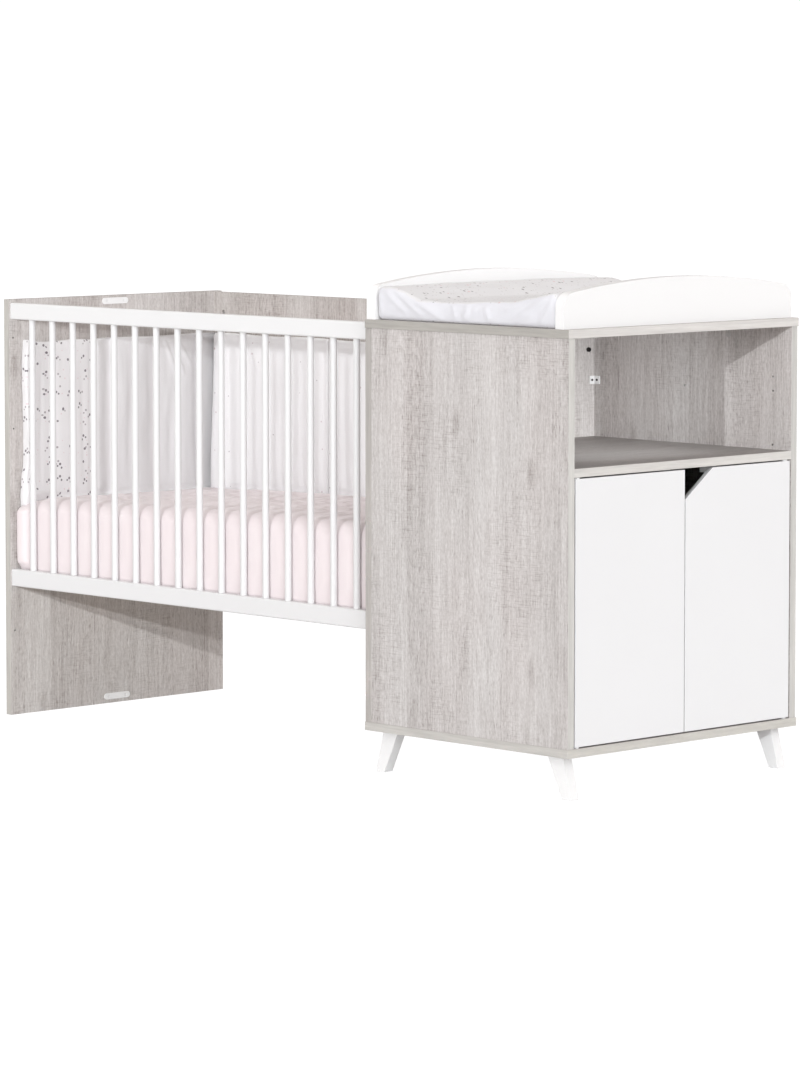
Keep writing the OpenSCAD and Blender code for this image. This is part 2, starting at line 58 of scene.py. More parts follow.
ORIGIN = np.array([0.9175, 0.332, 0.0])  # the design corner (end panel, near, floor) in the row frame


def dm(*p):
    """Design millimetres to row-frame metres, for one point or an (n, 3) array."""
    return np.asarray(p if len(p) > 1 else p[0], float) / 1000.0 - ORIGIN


# ---------------------------------------------------------------- camera
cam_data = bpy.data.cameras.new("Camera")
cam_data.sensor_width = 36.0
cam_data.sensor_fit = "AUTO"
cam_data.lens = 155.66
cam_data.shift_x = 0.0
cam_data.shift_y = -0.0981
cam_data.clip_start = 0.1
cam_data.clip_end = 400.0
cam = bpy.data.objects.new("Camera", cam_data)
bpy.context.scene.collection.objects.link(cam)
cam.location = (7.41307, -7.15629, 1.47613)
cam.rotation_euler = (math.radians(90 - 4.32), 0.0, math.radians(45.78))
bpy.context.scene.camera = cam

# ---------------------------------------------------------------- numpy helpers
U32 = np.uint32


def _hash(i, j, k, seed):
    with np.errstate(over="ignore"):
        h = i.astype(U32) * U32(374761393) + j.astype(U32) * U32(668265263) + k.astype(U32) * U32(2246822519) + U32(seed * 3266489917 & 0xFFFFFFFF)
        h = (h ^ (h >> U32(13))) * U32(1274126177)
        h = (h ^ (h >> U32(16))) * U32(2654435761)
        h = h ^ (h >> U32(15))
    return (h & U32(0xFFFFFF)).astype(float) / 0xFFFFFF


def vnoise(p, seed=0):
    """Smooth value noise, -1..1, at points p (n, 3) in lattice units."""
    f = np.floor(p).astype(np.int64)
    t = p - f
    t = t * t * t * (t * (t * 6 - 15) + 10)
    out = np.zeros(len(p))
    for dx in (0, 1):
        wx = t[:, 0] if dx else 1 - t[:, 0]
        for dy in (0, 1):
            wy = t[:, 1] if dy else 1 - t[:, 1]
            for dz in (0, 1):
                wz = t[:, 2] if dz else 1 - t[:, 2]
                out += wx * wy * wz * _hash(f[:, 0] + dx + 4096, f[:, 1] + dy + 4096, f[:, 2] + dz + 4096, seed)
    return out * 2 - 1


def fbm(p, seed=0, octaves=3, gain=0.5):
    out, a, s = np.zeros(len(p)), 1.0, 1.0
    for o in range(octaves):
        out += a * vnoise(p * s + 17.3 * o, seed + 7 * o)
        a *= gain
        s *= 2.03
    return out


def smooth(a, b, x):
    t = np.clip((x - a) / (b - a), 0, 1)
    return t * t * (3 - 2 * t)


def fold(u, v, a, b, width, height, skew=0.0):
    """A soft ridge along the line a-b in the plane (u, v): zero at its ends, asymmetric if skew is set."""
    ax, ay, bx, by = *a, *b
    lx, ly = bx - ax, by - ay
    ll = lx * lx + ly * ly
    t = ((u - ax) * lx + (v - ay) * ly) / ll
    d = ((u - ax) * -ly + (v - ay) * lx) / math.sqrt(ll)
    w = width * (1 + skew * np.tanh(d / width))
    end = np.clip(1 - np.abs(2 * np.clip(t, -0.2, 1.2) - 1) ** 3, 0, 1)
    return height * np.exp(-((d / w) ** 2)) * end


def lattice_box(lo, hi, step):
    """Vertices (n, 3), quads (m, 4) and the six side masks of a closed grid box."""
    lo, hi = np.asarray(lo, float), np.asarray(hi, float)
    n = np.maximum(2, np.round((hi - lo) / step)).astype(int)
    quads = []
    for a in range(3):
        b, c = (a + 1) % 3, (a + 2) % 3
        for side in (0, 1):
            i, j = np.meshgrid(np.arange(n[b]), np.arange(n[c]), indexing="ij")
            i, j = i.ravel(), j.ravel()
            corners = []
            order = ((0, 0), (1, 0), (1, 1), (0, 1)) if side else ((0, 0), (0, 1), (1, 1), (1, 0))
            for di, dj in order:
                k = np.zeros((len(i), 3), np.int64)
                k[:, a] = n[a] if side else 0
                k[:, b] = i + di
                k[:, c] = j + dj
                corners.append(k)
            quads.append(np.stack(corners, 1))
    q = np.concatenate(quads)
    key = (q[..., 0] * (n[1] + 1) + q[..., 1]) * (n[2] + 1) + q[..., 2]
    uniq, inv = np.unique(key.ravel(), return_inverse=True)
    ijk = np.stack([uniq // ((n[1] + 1) * (n[2] + 1)), uniq // (n[2] + 1) % (n[1] + 1), uniq % (n[2] + 1)], 1)
    p = lo + (hi - lo) * ijk / n
    return p, inv.reshape(-1, 4), ijk, n


def round_box(lo, hi, r, step, low=None):
    """A closed box with rounded edges: positions, outward directions and quads. low: the vertical radius at the foot."""
    p, q, ijk, n = lattice_box(lo, hi, step)
    lo, hi = np.asarray(lo, float), np.asarray(hi, float)
    r = np.minimum(np.asarray([r] * 3 if np.isscalar(r) else r, float), (hi - lo) / 2 * 0.999)
    if low is not None:
        r = np.repeat(r[None], len(p), 0)
        r[p[:, 2] < (lo[2] + hi[2]) / 2, 2] = low
        # the lattice row nearest to the foot moves down into the small radius
        near = (ijk[:, 2] == 1)
        p[near, 2] = lo[2] + low
    inner = np.clip(p, lo + r, hi - r)
    d = (p - inner) / r
    d /= np.maximum(np.linalg.norm(d, axis=1), 1e-9)[:, None]
    pos = inner + d * r
    nrm = d / r
    nrm /= np.linalg.norm(nrm, axis=1)[:, None]
    return pos, nrm, q, ijk, n


def make_mesh(name, verts, faces, material=None, smooth_shade=True):
    """A mesh object from design-millimetre vertices."""
    me = bpy.data.meshes.new(name)
    me.from_pydata(dm(verts).tolist(), [], [list(map(int, f)) for f in faces])
    if smooth_shade:
        me.polygons.foreach_set("use_smooth", [True] * len(me.polygons))
    me.update()
    ob = bpy.data.objects.new(name, me)
    bpy.context.scene.collection.objects.link(ob)
    if material:
        me.materials.append(material)
    return ob


# ---------------------------------------------------------------- material helpers
class Graph:
    """A small builder for node materials."""

    def __init__(self, name):
        self.mat = bpy.data.materials.new(name)
        self.mat.use_nodes = True
        self.tree = self.mat.node_tree
        self.tree.nodes.clear()
        self.out = self.tree.nodes.new("ShaderNodeOutputMaterial")
        self.bsdf = self.tree.nodes.new("ShaderNodeBsdfPrincipled")
        self.tree.links.new(self.bsdf.outputs[0], self.out.inputs[0])

    def node(self, kind, **props):
        n = self.tree.nodes.new("ShaderNode" + kind)
        for k, v in props.items():
            setattr(n, k, v)
        return n

    def put(self, socket, value):
        if isinstance(value, bpy.types.NodeSocket):
            self.tree.links.new(value, socket)
        elif isinstance(value, (tuple, list)) and len(value) == 3 and socket.type == "RGBA":
            socket.default_value = (*value, 1.0)
        else:
            socket.default_value = value

    def set(self, name, value):
        self.put(self.bsdf.inputs[name], value)

    def math(self, op, a, b=0.0, c=0.0, clamp=False):
        n = self.node("Math", operation=op, use_clamp=clamp)
        for s, v in zip(n.inputs, (a, b, c)):
            self.put(s, v)
        return n.outputs[0]

    def add(self, a, b):
        return self.math("ADD", a, b)

    def mul(self, a, b):
        return self.math("MULTIPLY", a, b)

    def xyz(self, kind="Object"):
        tc = self.node("TexCoord")
        sep = self.node("SeparateXYZ")
        self.put(sep.inputs[0], tc.outputs[kind])
        return sep.outputs[0], sep.outputs[1], sep.outputs[2]

    def vec(self, x=0.0, y=0.0, z=0.0):
        n = self.node("CombineXYZ")
        for s, v in zip(n.inputs, (x, y, z)):
            self.put(s, v)
        return n.outputs[0]

    def noise(self, vec, scale=1.0, detail=2.0, rough=0.5, distortion=0.0, dims="3D", w=None):
        n = self.node("TexNoise", noise_dimensions=dims)
        if dims != "1D":
            self.put(n.inputs["Vector"], vec)
        if w is not None:
            self.put(n.inputs["W"], w)
        self.put(n.inputs["Scale"], scale)
        self.put(n.inputs["Detail"], detail)
        self.put(n.inputs["Roughness"], rough)
        self.put(n.inputs["Distortion"], distortion)
        return n.outputs[0]

    def voronoi(self, vec=None, scale=1.0, dims="2D", feature="F1", rand=1.0, w=None):
        n = self.node("TexVoronoi", voronoi_dimensions=dims, feature=feature)
        if dims != "1D":
            self.put(n.inputs["Vector"], vec)
        if w is not None:
            self.put(n.inputs["W"], w)
        self.put(n.inputs["Scale"], scale)
        self.put(n.inputs["Randomness"], rand)
        return n

    def remap(self, v, a, b, lo=0.0, hi=1.0, kind="SMOOTHSTEP"):
        n = self.node("MapRange", interpolation_type=kind)
        for s, x in zip(n.inputs, (v, a, b, lo, hi)):
            self.put(s, x)
        return n.outputs[0]

    def mix(self, fac, a, b, mode="MIX"):
        n = self.node("Mix", data_type="RGBA", blend_type=mode)
        self.put(n.inputs[0], fac)
        self.put(n.inputs[6], a)
        self.put(n.inputs[7], b)
        return n.outputs[2]

    def ramp(self, fac, stops):
        n = self.node("ValToRGB")
        e = n.color_ramp.elements
        while len(e) < len(stops):
            e.new(0.5)
        for el, (pos, col) in zip(e, stops):
            el.position = pos
            el.color = (*col, 1.0)
        self.put(n.inputs[0], fac)
        return n.outputs[0]

    def grey(self, v):
        """A value as a grey colour."""
        n = self.node("CombineColor")
        for s in n.inputs:
            self.put(s, v)
        return n.outputs[0]

    def bump(self, height, strength=0.5, distance=0.001, normal=None):
        n = self.node("Bump")
        self.put(n.inputs["Height"], height)
        self.put(n.inputs["Strength"], strength)
        self.put(n.inputs["Distance"], distance)
        if normal is not None:
            self.put(n.inputs["Normal"], normal)
        return n.outputs[0]

    def bevel(self, radius, samples=4):
        n = self.node("Bevel", samples=samples)
        self.put(n.inputs["Radius"], radius)
        return n.outputs[0]

    def axis_of(self, axis):
        """|component| of the object-space normal along an axis."""
        return self.math("ABSOLUTE", self.xyz("Normal")["xyz".index(axis)])


def srgb(r, g, b):
    """Display 0-255 to scene-linear."""
    return tuple(((c / 255) / 12.92 if c / 255 <= 0.04045 else ((c / 255 + 0.055) / 1.055) ** 2.4) for c in (r, g, b))


# ---------------------------------------------------------------- grey oak laminate
def laminate(name, across, along, seed, tone=1.0, warm=0.0, contrast=1.0, edge=(0.55, 0.54, 0.515), edge_y_painted_shade=(0.47, 0.455, 0.43), plank=0.085):
    """Melamine board with a grey oak print: flat-sawn planks, growth rings, pores, saw marks and paler edge bands; the
    edge bands that face along y take a darker colour as painted shade.
    """
    g = Graph(name)
    x, y, z = g.xyz()
    by = {"x": x, "y": y, "z": z}
    normal_axis = ({"x", "y", "z"} - {across, along}).pop()
    u = g.add(by[across], 3.17 + seed * 1.37)
    v = g.add(by[along], 2.0 + seed * 0.71)
    # planks of the print: one random value and one centre line each
    wob = g.mul(g.math("SUBTRACT", g.noise(g.vec(g.mul(u, 1.0), g.mul(v, 0.6), seed), 1.5, 1.0), 0.5), 0.012)
    uw = g.add(u, wob)
    pl = g.voronoi(scale=1.0 / plank, dims="1D", w=u, rand=0.85)
    rnd = g.node("SeparateColor")
    g.put(rnd.inputs[0], pl.outputs["Color"])
    r1, r2, r3 = rnd.outputs
    du = g.math("SUBTRACT", u, pl.outputs["W"])
    # growth rings: a nearly parallel cut through a log, so that each plank shows long cathedral arches
    vv = g.add(v, g.mul(r1, 5.0))
    depth = g.mul(g.math("SUBTRACT", g.noise(g.vec(g.mul(r2, 40.0), g.mul(vv, 0.9), 0.3 + seed), 1.0, 1.0, 0.4), 0.5), 0.30)
    dist = g.mul(g.math("SUBTRACT", g.noise(g.vec(g.mul(u, 26.0), g.mul(v, 4.5), seed), 1.0, 3.0, 0.55), 0.5), 0.016)
    rad = g.math("SQRT", g.add(g.mul(du, du), g.mul(depth, depth)))
    rings = g.add(rad, dist)
    saw = g.math("FRACT", g.mul(rings, 160.0))
    line = g.remap(saw, 0.0, 1.0, 0.0, 1.0)
    line = g.math("POWER", line, 2.2)
    ring_mask = g.remap(g.noise(g.vec(g.mul(u, 9.0), g.mul(v, 1.4), 5.0 + seed), 1.0, 2.0), 0.36, 0.62)
    # streaks at three widths
    s_wide = g.noise(g.vec(g.mul(uw, 36.0), g.mul(v, 0.9), seed), 1.0, 2.0, 0.5)
    s_mid = g.noise(g.vec(g.mul(uw, 170.0), g.mul(v, 6.5), seed + 2), 1.0, 3.0, 0.65)
    s_fine = g.noise(g.vec(g.mul(uw, 560.0), g.mul(v, 42.0), seed + 4), 1.0, 2.0, 0.7)
    mottle = g.noise(g.vec(g.mul(uw, 240.0), g.mul(v, 130.0), seed + 5), 1.0, 3.0, 0.6)
    # pores: short dark ticks along the grain, in drifts
    pore_n = g.noise(g.vec(g.mul(uw, 430.0), g.mul(v, 46.0), seed + 6), 1.0, 2.0, 0.6)
    drift = g.noise(g.vec(g.mul(u, 14.0), g.mul(v, 2.2), seed + 8), 1.0, 2.0)
    pores = g.mul(g.remap(pore_n, 0.57, 0.68), g.remap(drift, 0.34, 0.62))
    # saw marks: fine lines across the grain, in patches
    marks_n = g.noise(g.vec(g.mul(u, 24.0), g.mul(v, 420.0), seed + 10), 1.0, 2.0, 0.6)
    marks = g.mul(g.remap(marks_n, 0.50, 0.66), g.remap(g.noise(g.vec(g.mul(u, 9.0), g.mul(v, 4.0), seed + 12), 1.0, 2.0), 0.40, 0.62))
    # knots and short checks
    kn = g.voronoi(g.vec(g.mul(u, 9.0), g.mul(v, 3.4), 0.0), 1.0, "2D")
    kr = g.node("SeparateColor")
    g.put(kr.inputs[0], kn.outputs["Color"])
    has = g.math("GREATER_THAN", kr.outputs[0], 0.72)
    kd = g.add(kn.outputs["Distance"], g.mul(g.math("SUBTRACT", g.noise(g.vec(g.mul(u, 90.0), g.mul(v, 30.0), seed), 1.0, 3.0), 0.5), 0.10))
    knot = g.mul(g.remap(kd, 0.02, 0.16, 1.0, 0.0), has)
    check_n = g.noise(g.vec(g.mul(uw, 260.0), g.mul(v, 7.0), seed + 14), 1.0, 1.0, 0.5)
    checks = g.mul(g.remap(check_n, 0.735, 0.78), g.remap(drift, 0.48, 0.62))
    # value: 0 dark .. 1 light
    k = contrast
    val = g.add(0.60, g.mul(g.math("SUBTRACT", r1, 0.5), 0.26 * k))
    val = g.add(val, g.mul(g.math("SUBTRACT", s_wide, 0.5), 0.50 * k))
    val = g.add(val, g.mul(g.math("SUBTRACT", s_mid, 0.5), 0.85 * k))
    val = g.add(val, g.mul(g.math("SUBTRACT", s_fine, 0.5), 1.00 * k))
    val = g.add(val, g.mul(g.math("SUBTRACT", mottle, 0.5), 0.70 * k))
    val = g.math("SUBTRACT", val, g.mul(g.mul(line, ring_mask), 0.16 * k))
    val = g.math("SUBTRACT", val, g.mul(pores, 0.42 * k))
    val = g.math("SUBTRACT", val, g.mul(marks, 0.24 * k))
    val = g.math("SUBTRACT", val, g.mul(knot, 0.26 * k))
    val = g.math("SUBTRACT", val, g.mul(checks, 0.60 * k))
    val = g.add(val, 0.07 * k)
    val = g.math("MINIMUM", g.math("MAXIMUM", val, 0.0), 1.0)
    t = tone
    dark = (0.262 * t * (1 + 0.04 * warm), 0.238 * t, 0.228 * t * (1 - 0.04 * warm))
    mid = (0.462 * t * (1 + 0.03 * warm), 0.440 * t, 0.433 * t * (1 - 0.03 * warm))
    light = (0.640 * t * (1 + 0.02 * warm), 0.626 * t, 0.622 * t * (1 - 0.03 * warm))
    col = g.ramp(val, [(0.0, dark), (0.5, mid), (1.0, light)])
    # slow drift between a pinkish and a greenish grey
    hue = g.noise(g.vec(g.mul(u, 5.0), g.mul(v, 1.6), seed + 20), 1.0, 2.0)
    col = g.mix(g.remap(hue, 0.35, 0.65), g.mix(1.0, col, (1.008, 0.996, 0.994), "MULTIPLY"), g.mix(1.0, col, (0.996, 1.0, 1.0), "MULTIPLY"))
    # edge bands: paler, with a fine streak along their length
    n_abs = g.axis_of(normal_axis)
    is_edge = g.math("LESS_THAN", n_abs, 0.6)
    length = g.add(by[across], by[along])
    eg = g.noise(g.vec(g.mul(by[normal_axis], 190.0), g.mul(length, 11.0), seed), 1.0, 3.0, 0.7)
    eg2 = g.noise(g.vec(g.mul(by[normal_axis], 90.0), g.mul(length, 3.0), seed + 1), 1.0, 2.0, 0.5)
    ev = g.add(g.mul(eg, 0.6), g.mul(eg2, 0.4))
    ecol = g.ramp(ev, [(0.32, tuple(c * 0.84 for c in edge)), (0.66, tuple(c * 1.08 for c in edge))])
    # edge bands facing along y get a colour of their own, mostly darker than the other edges: painted shade for the
    # weaker light on those faces
    ecol_y_painted_shade = g.ramp(ev, [(0.32, tuple(c * 0.82 for c in edge_y_painted_shade)), (0.66, tuple(c * 1.10 for c in edge_y_painted_shade))])
    ecol = g.mix(g.math("GREATER_THAN", g.axis_of("y"), 0.6), ecol, ecol_y_painted_shade)
    # the 18 mm board edges and the walls of bores alike take the edge colour
    col = g.mix(is_edge, col, ecol)
    g.set("Base Color", col)
    rough = g.remap(val, 0.0, 1.0, 0.62, 0.48, "LINEAR")
    g.set("Roughness", rough)
    g.set("Specular IOR Level", 0.35)
    height = g.math("SUBTRACT", g.add(g.mul(s_fine, 0.5), g.mul(s_mid, 0.3)), g.add(g.mul(pores, 0.8), g.mul(marks, 0.25)))
    height = g.mix(is_edge, g.grey(height), g.grey(g.mul(eg, 0.35)))
    g.set("Normal", g.bump(height, 0.35, 0.0004, g.bevel(0.0006)))
    return g.mat


# ---------------------------------------------------------------- painted, plastic, metal and bare wood
def lacquer(name, base=(0.84, 0.85, 0.865), rough=0.34):
    """Satin white lacquer: faint orange peel, slight drift of tone and gloss."""
    g = Graph(name)
    tc = g.node("TexCoord").outputs["Object"]
    drift = g.noise(tc, 3.2, 3.0, 0.5)
    fine = g.noise(tc, 260.0, 2.0, 0.6)
    col = g.ramp(g.add(g.mul(drift, 0.75), g.mul(fine, 0.25)), [(0.25, tuple(c * 0.988 for c in base)), (0.75, tuple(min(1, c * 1.01) for c in base))])
    bev = g.bevel(0.0011)
    g.set("Base Color", col)
    g.set("Roughness", g.remap(g.noise(tc, 18.0, 3.0), 0.3, 0.7, rough - 0.03, rough + 0.04))
    g.set("Specular IOR Level", 0.45)
    g.set("Normal", g.bump(g.add(g.mul(fine, 0.5), g.mul(g.noise(tc, 90.0, 1.0), 0.5)), 0.10, 0.0004, bev))
    return g.mat


def plastic(name, base, rough=0.42, spark=420.0):
    """Injection-moulded plastic: fine spark-eroded texture and a slight mottling."""
    g = Graph(name)
    tc = g.node("TexCoord").outputs["Object"]
    m = g.noise(tc, 30.0, 3.0)
    f = g.noise(tc, spark * 4, 1.0)
    g.set("Base Color", g.ramp(m, [(0.3, tuple(c * 0.95 for c in base)), (0.7, tuple(min(1, c * 1.03) for c in base))]))
    g.set("Roughness", g.remap(f, 0.3, 0.7, rough - 0.06, rough + 0.08))
    g.set("Normal", g.bump(f, 0.15, 0.0002, g.bevel(0.0004)))
    return g.mat


def metal(name, base, rough=0.3, along="z", dark=0.7):
    """Zinc-plated or blackened steel with turned marks and a few duller patches."""
    g = Graph(name)
    x, y, z = g.xyz()
    s = {"x": (60.0, 900.0, 900.0), "y": (900.0, 60.0, 900.0), "z": (900.0, 900.0, 60.0)}[along]
    turn = g.noise(g.vec(g.mul(x, s[0]), g.mul(y, s[1]), g.mul(z, s[2])), 1.0, 2.0, 0.6)
    patch = g.noise(g.vec(x, y, z), 140.0, 3.0)
    g.set("Base Color", g.ramp(g.add(g.mul(turn, 0.4), g.mul(patch, 0.6)), [(0.3, tuple(c * dark for c in base)), (0.7, base)]))
    g.set("Metallic", 1.0)
    g.set("Roughness", g.remap(patch, 0.3, 0.7, rough - 0.05, rough + 0.14))
    g.set("Normal", g.bump(turn, 0.2, 0.0002, g.bevel(0.0003)))
    return g.mat


def beech(name, along, seed=0):
    """Plain planed beech: fine even grain and the small brown flecks of its rays."""
    g = Graph(name)
    x, y, z = g.xyz()
    by = {"x": x, "y": y, "z": z}
    others = [a for a in "xyz" if a != along]
    a, b, c = g.add(by[others[0]], 2.0 + seed), g.add(by[others[1]], 2.0), g.add(by[along], 3.0 + seed * 0.37)
    broad = g.noise(g.vec(g.mul(a, 28.0), g.mul(b, 28.0), g.mul(c, 1.4)), 1.0, 3.0, 0.5)
    fine = g.noise(g.vec(g.mul(a, 420.0), g.mul(b, 420.0), g.mul(c, 12.0)), 1.0, 2.0, 0.6)
    fl = g.noise(g.vec(g.mul(a, 700.0), g.mul(b, 700.0), g.mul(c, 130.0)), 1.0, 1.0, 0.5)
    fleck = g.remap(fl, 0.64, 0.72)
    v = g.add(g.mul(broad, 0.6), g.mul(fine, 0.4))
    col = g.ramp(v, [(0.28, (0.47, 0.33, 0.20)), (0.5, (0.58, 0.43, 0.28)), (0.72, (0.66, 0.51, 0.35))])
    col = g.mix(g.mul(fleck, 0.35), col, (0.40, 0.25, 0.14))
    g.set("Base Color", col)
    g.set("Roughness", g.remap(fine, 0.3, 0.7, 0.5, 0.62))
    g.set("Specular IOR Level", 0.35)
    g.set("Normal", g.bump(g.math("SUBTRACT", fine, g.mul(fleck, 0.5)), 0.3, 0.0003, g.bevel(0.0006)))
    return g.mat


# ---------------------------------------------------------------- fabrics
def weave(g, u, v, pitch):
    """Height of a plain weave with the given thread pitch in metres, from two in-plane coordinates."""
    f = math.pi / pitch
    a = g.math("SINE", g.mul(u, f))
    b = g.math("SINE", g.mul(v, f))
    ab = g.mul(a, b)
    wa = g.math("ABSOLUTE", g.math("SINE", g.mul(u, f)))
    wb = g.math("ABSOLUTE", g.math("SINE", g.mul(v, f)))
    over = g.remap(ab, -0.15, 0.15)
    return g.add(g.mul(wa, over), g.mul(wb, g.math("SUBTRACT", 1.0, over)))


def in_plane(g):
    """Two coordinates that run over the surface whichever way it faces."""
    x, y, z = g.xyz()
    nx, ny, nz = (g.math("ABSOLUTE", c) for c in g.xyz("Normal"))
    top = g.math("GREATER_THAN", nz, 0.72)
    side = g.mul(g.math("GREATER_THAN", nx, ny), g.math("SUBTRACT", 1.0, top))
    u = g.add(g.mul(x, g.math("SUBTRACT", 1.0, side)), g.mul(y, side))
    v = g.add(g.mul(y, top), g.mul(z, g.math("SUBTRACT", 1.0, top)))
    return u, v


def fabric(name, base, pitch=0.0011, sheen=0.25, drift=0.03, rough=0.86, bump=0.35, tint=None):
    """Woven or knitted cotton without a print."""
    g = Graph(name)
    tc = g.node("TexCoord").outputs["Object"]
    u, v = in_plane(g)
    h = weave(g, u, v, pitch)
    slub = g.noise(tc, 340.0, 2.0, 0.6)
    cloud = g.noise(tc, 6.0, 3.0, 0.5)
    f = g.add(g.add(g.mul(h, 0.35), g.mul(slub, 0.35)), g.mul(cloud, 0.30))
    col = g.ramp(f, [(0.25, tuple(c * (1 - drift) for c in base)), (0.8, tuple(min(1, c * (1 + drift)) for c in base))])
    if tint:
        col = g.mix(g.remap(g.noise(tc, 9.0, 3.0), 0.45, 0.75, 0.0, 0.5), col, tint)
    g.set("Base Color", col)
    g.set("Roughness", g.remap(h, 0.0, 1.0, rough - 0.04, min(1, rough + 0.06)))
    g.set("Specular IOR Level", 0.2)
    g.set("Sheen Weight", sheen)
    g.set("Sheen Roughness", 0.5)
    g.set("Normal", g.bump(g.add(g.mul(h, 0.6), g.mul(slub, 0.5)), bump, 0.00035))
    return g


def dots(g, u, v, cell, radius, keep, seed, drift_scale=0.0, drift_min=0.0, soft=0.25, rand=1.0):
    """Mask of small round dots scattered over a plane, some cells left out."""
    vo = g.voronoi(g.vec(g.add(g.mul(u, 1.0 / cell), seed * 3.7), g.add(g.mul(v, 1.0 / cell), seed * 5.3), 0.0), 1.0, "2D", rand=rand)
    c = g.node("SeparateColor")
    g.put(c.inputs[0], vo.outputs["Color"])
    r = g.mul(g.remap(c.outputs[1], 0.0, 1.0, 0.7, 1.25, "LINEAR"), radius / cell)
    d = g.math("SUBTRACT", vo.outputs["Distance"], r)
    m = g.remap(d, -soft * radius / cell, soft * radius / cell, 1.0, 0.0)
    m = g.mul(m, g.math("LESS_THAN", c.outputs[0], keep))
    if drift_scale:
        n = g.noise(g.vec(g.mul(u, drift_scale), g.mul(v, drift_scale), seed), 1.0, 1.0)
        m = g.mul(m, g.math("GREATER_THAN", n, drift_min))
    return m


def cluster(g, u, v, cell, spots, keep, seed, rand=0.75, soft=0.0005):
    """Mask of small groups of round dots, one group to a cell. spots: (du, dv, radius) in metres."""
    vo = g.voronoi(g.vec(g.add(g.mul(u, 1.0 / cell), seed * 3.7), g.add(g.mul(v, 1.0 / cell), seed * 5.3), 0.0), 1.0, "2D", rand=rand)
    c = g.node("SeparateColor")
    g.put(c.inputs[0], vo.outputs["Color"])
    sep = g.node("SeparateXYZ")
    g.put(sep.inputs[0], vo.outputs["Position"])
    du = g.mul(g.math("SUBTRACT", g.add(g.mul(u, 1.0 / cell), seed * 3.7), sep.outputs[0]), cell)
    dv = g.mul(g.math("SUBTRACT", g.add(g.mul(v, 1.0 / cell), seed * 5.3), sep.outputs[1]), cell)
    side = g.math("SUBTRACT", g.mul(g.math("GREATER_THAN", c.outputs[1], 0.5), 2.0), 1.0)
    du = g.mul(du, side)
    total = None
    for i, (a, b, r) in enumerate(spots):
        da, db = g.math("SUBTRACT", du, a), g.math("SUBTRACT", dv, b)
        dist = g.math("SQRT", g.add(g.mul(da, da), g.mul(db, db)))
        m = g.remap(dist, r - soft, r + soft, 1.0, 0.0)
        if i:  # the smaller dots are missing from some groups
            m = g.mul(m, g.math("GREATER_THAN", c.outputs[2], 0.24 * i))
        total = m if total is None else g.math("MAXIMUM", total, m)
    return g.mul(total, g.math("LESS_THAN", c.outputs[0], keep))


def bumper_cloth(name, plane, print_kind, white=0.70):
    """White cotton percale. print_kind: 'clusters' (little dot groups), 'sparse' or None."""
    g = Graph(name)
    x, y, z = g.xyz()
    pu = g.math("SUBTRACT", y, x) if plane == "yz" else g.add(x, y)
    tc = g.node("TexCoord").outputs["Object"]
    h = weave(g, pu, z, 0.0008)
    slub = g.noise(tc, 300.0, 2.0, 0.6)
    cloud = g.noise(tc, 5.0, 3.0, 0.5)
    f = g.add(g.add(g.mul(h, 0.3), g.mul(slub, 0.3)), g.mul(cloud, 0.4))
    col = g.ramp(f, [(0.25, (0.965 * white, 0.955 * white, 0.965 * white)), (0.8, (1.035 * white, 1.025 * white, 1.035 * white))])
    ink = (0.085, 0.065, 0.085)
    if print_kind == "clusters":
        a = cluster(g, pu, z, 0.036, ((0.0, 0.0, 0.0031), (-0.0064, -0.0042, 0.0023), (0.0044, -0.0088, 0.0026)), 0.86, 1)
        b = cluster(g, pu, z, 0.040, ((0.0, 0.0, 0.0026), (0.0052, -0.0064, 0.0020)), 0.62, 2)
        c = dots(g, pu, z, 0.026, 0.0016, 0.55, 3)
        col = g.mix(g.mul(c, 0.35), col, (0.62, 0.36, 0.40))
        col = g.mix(g.mul(b, 0.62), col, (0.22, 0.18, 0.20))
        col = g.mix(g.mul(a, 0.80), col, ink)
    elif print_kind == "sparse":
        a = dots(g, pu, z, 0.050, 0.0015, 0.22, 4)
        b = dots(g, pu, z, 0.062, 0.0021, 0.20, 5)
        col = g.mix(g.mul(a, 0.7), col, (0.30, 0.26, 0.28))
        col = g.mix(g.mul(b, 0.6), col, (0.42, 0.30, 0.33))
    g.set("Base Color", col)
    g.set("Roughness", g.remap(h, 0.0, 1.0, 0.82, 0.92))
    g.set("Specular IOR Level", 0.2)
    g.set("Sheen Weight", 0.15)
    g.set("Sheen Roughness", 0.5)
    g.set("Normal", g.bump(g.add(g.mul(h, 0.6), g.mul(slub, 0.5)), 0.3, 0.0003))
    return g.mat


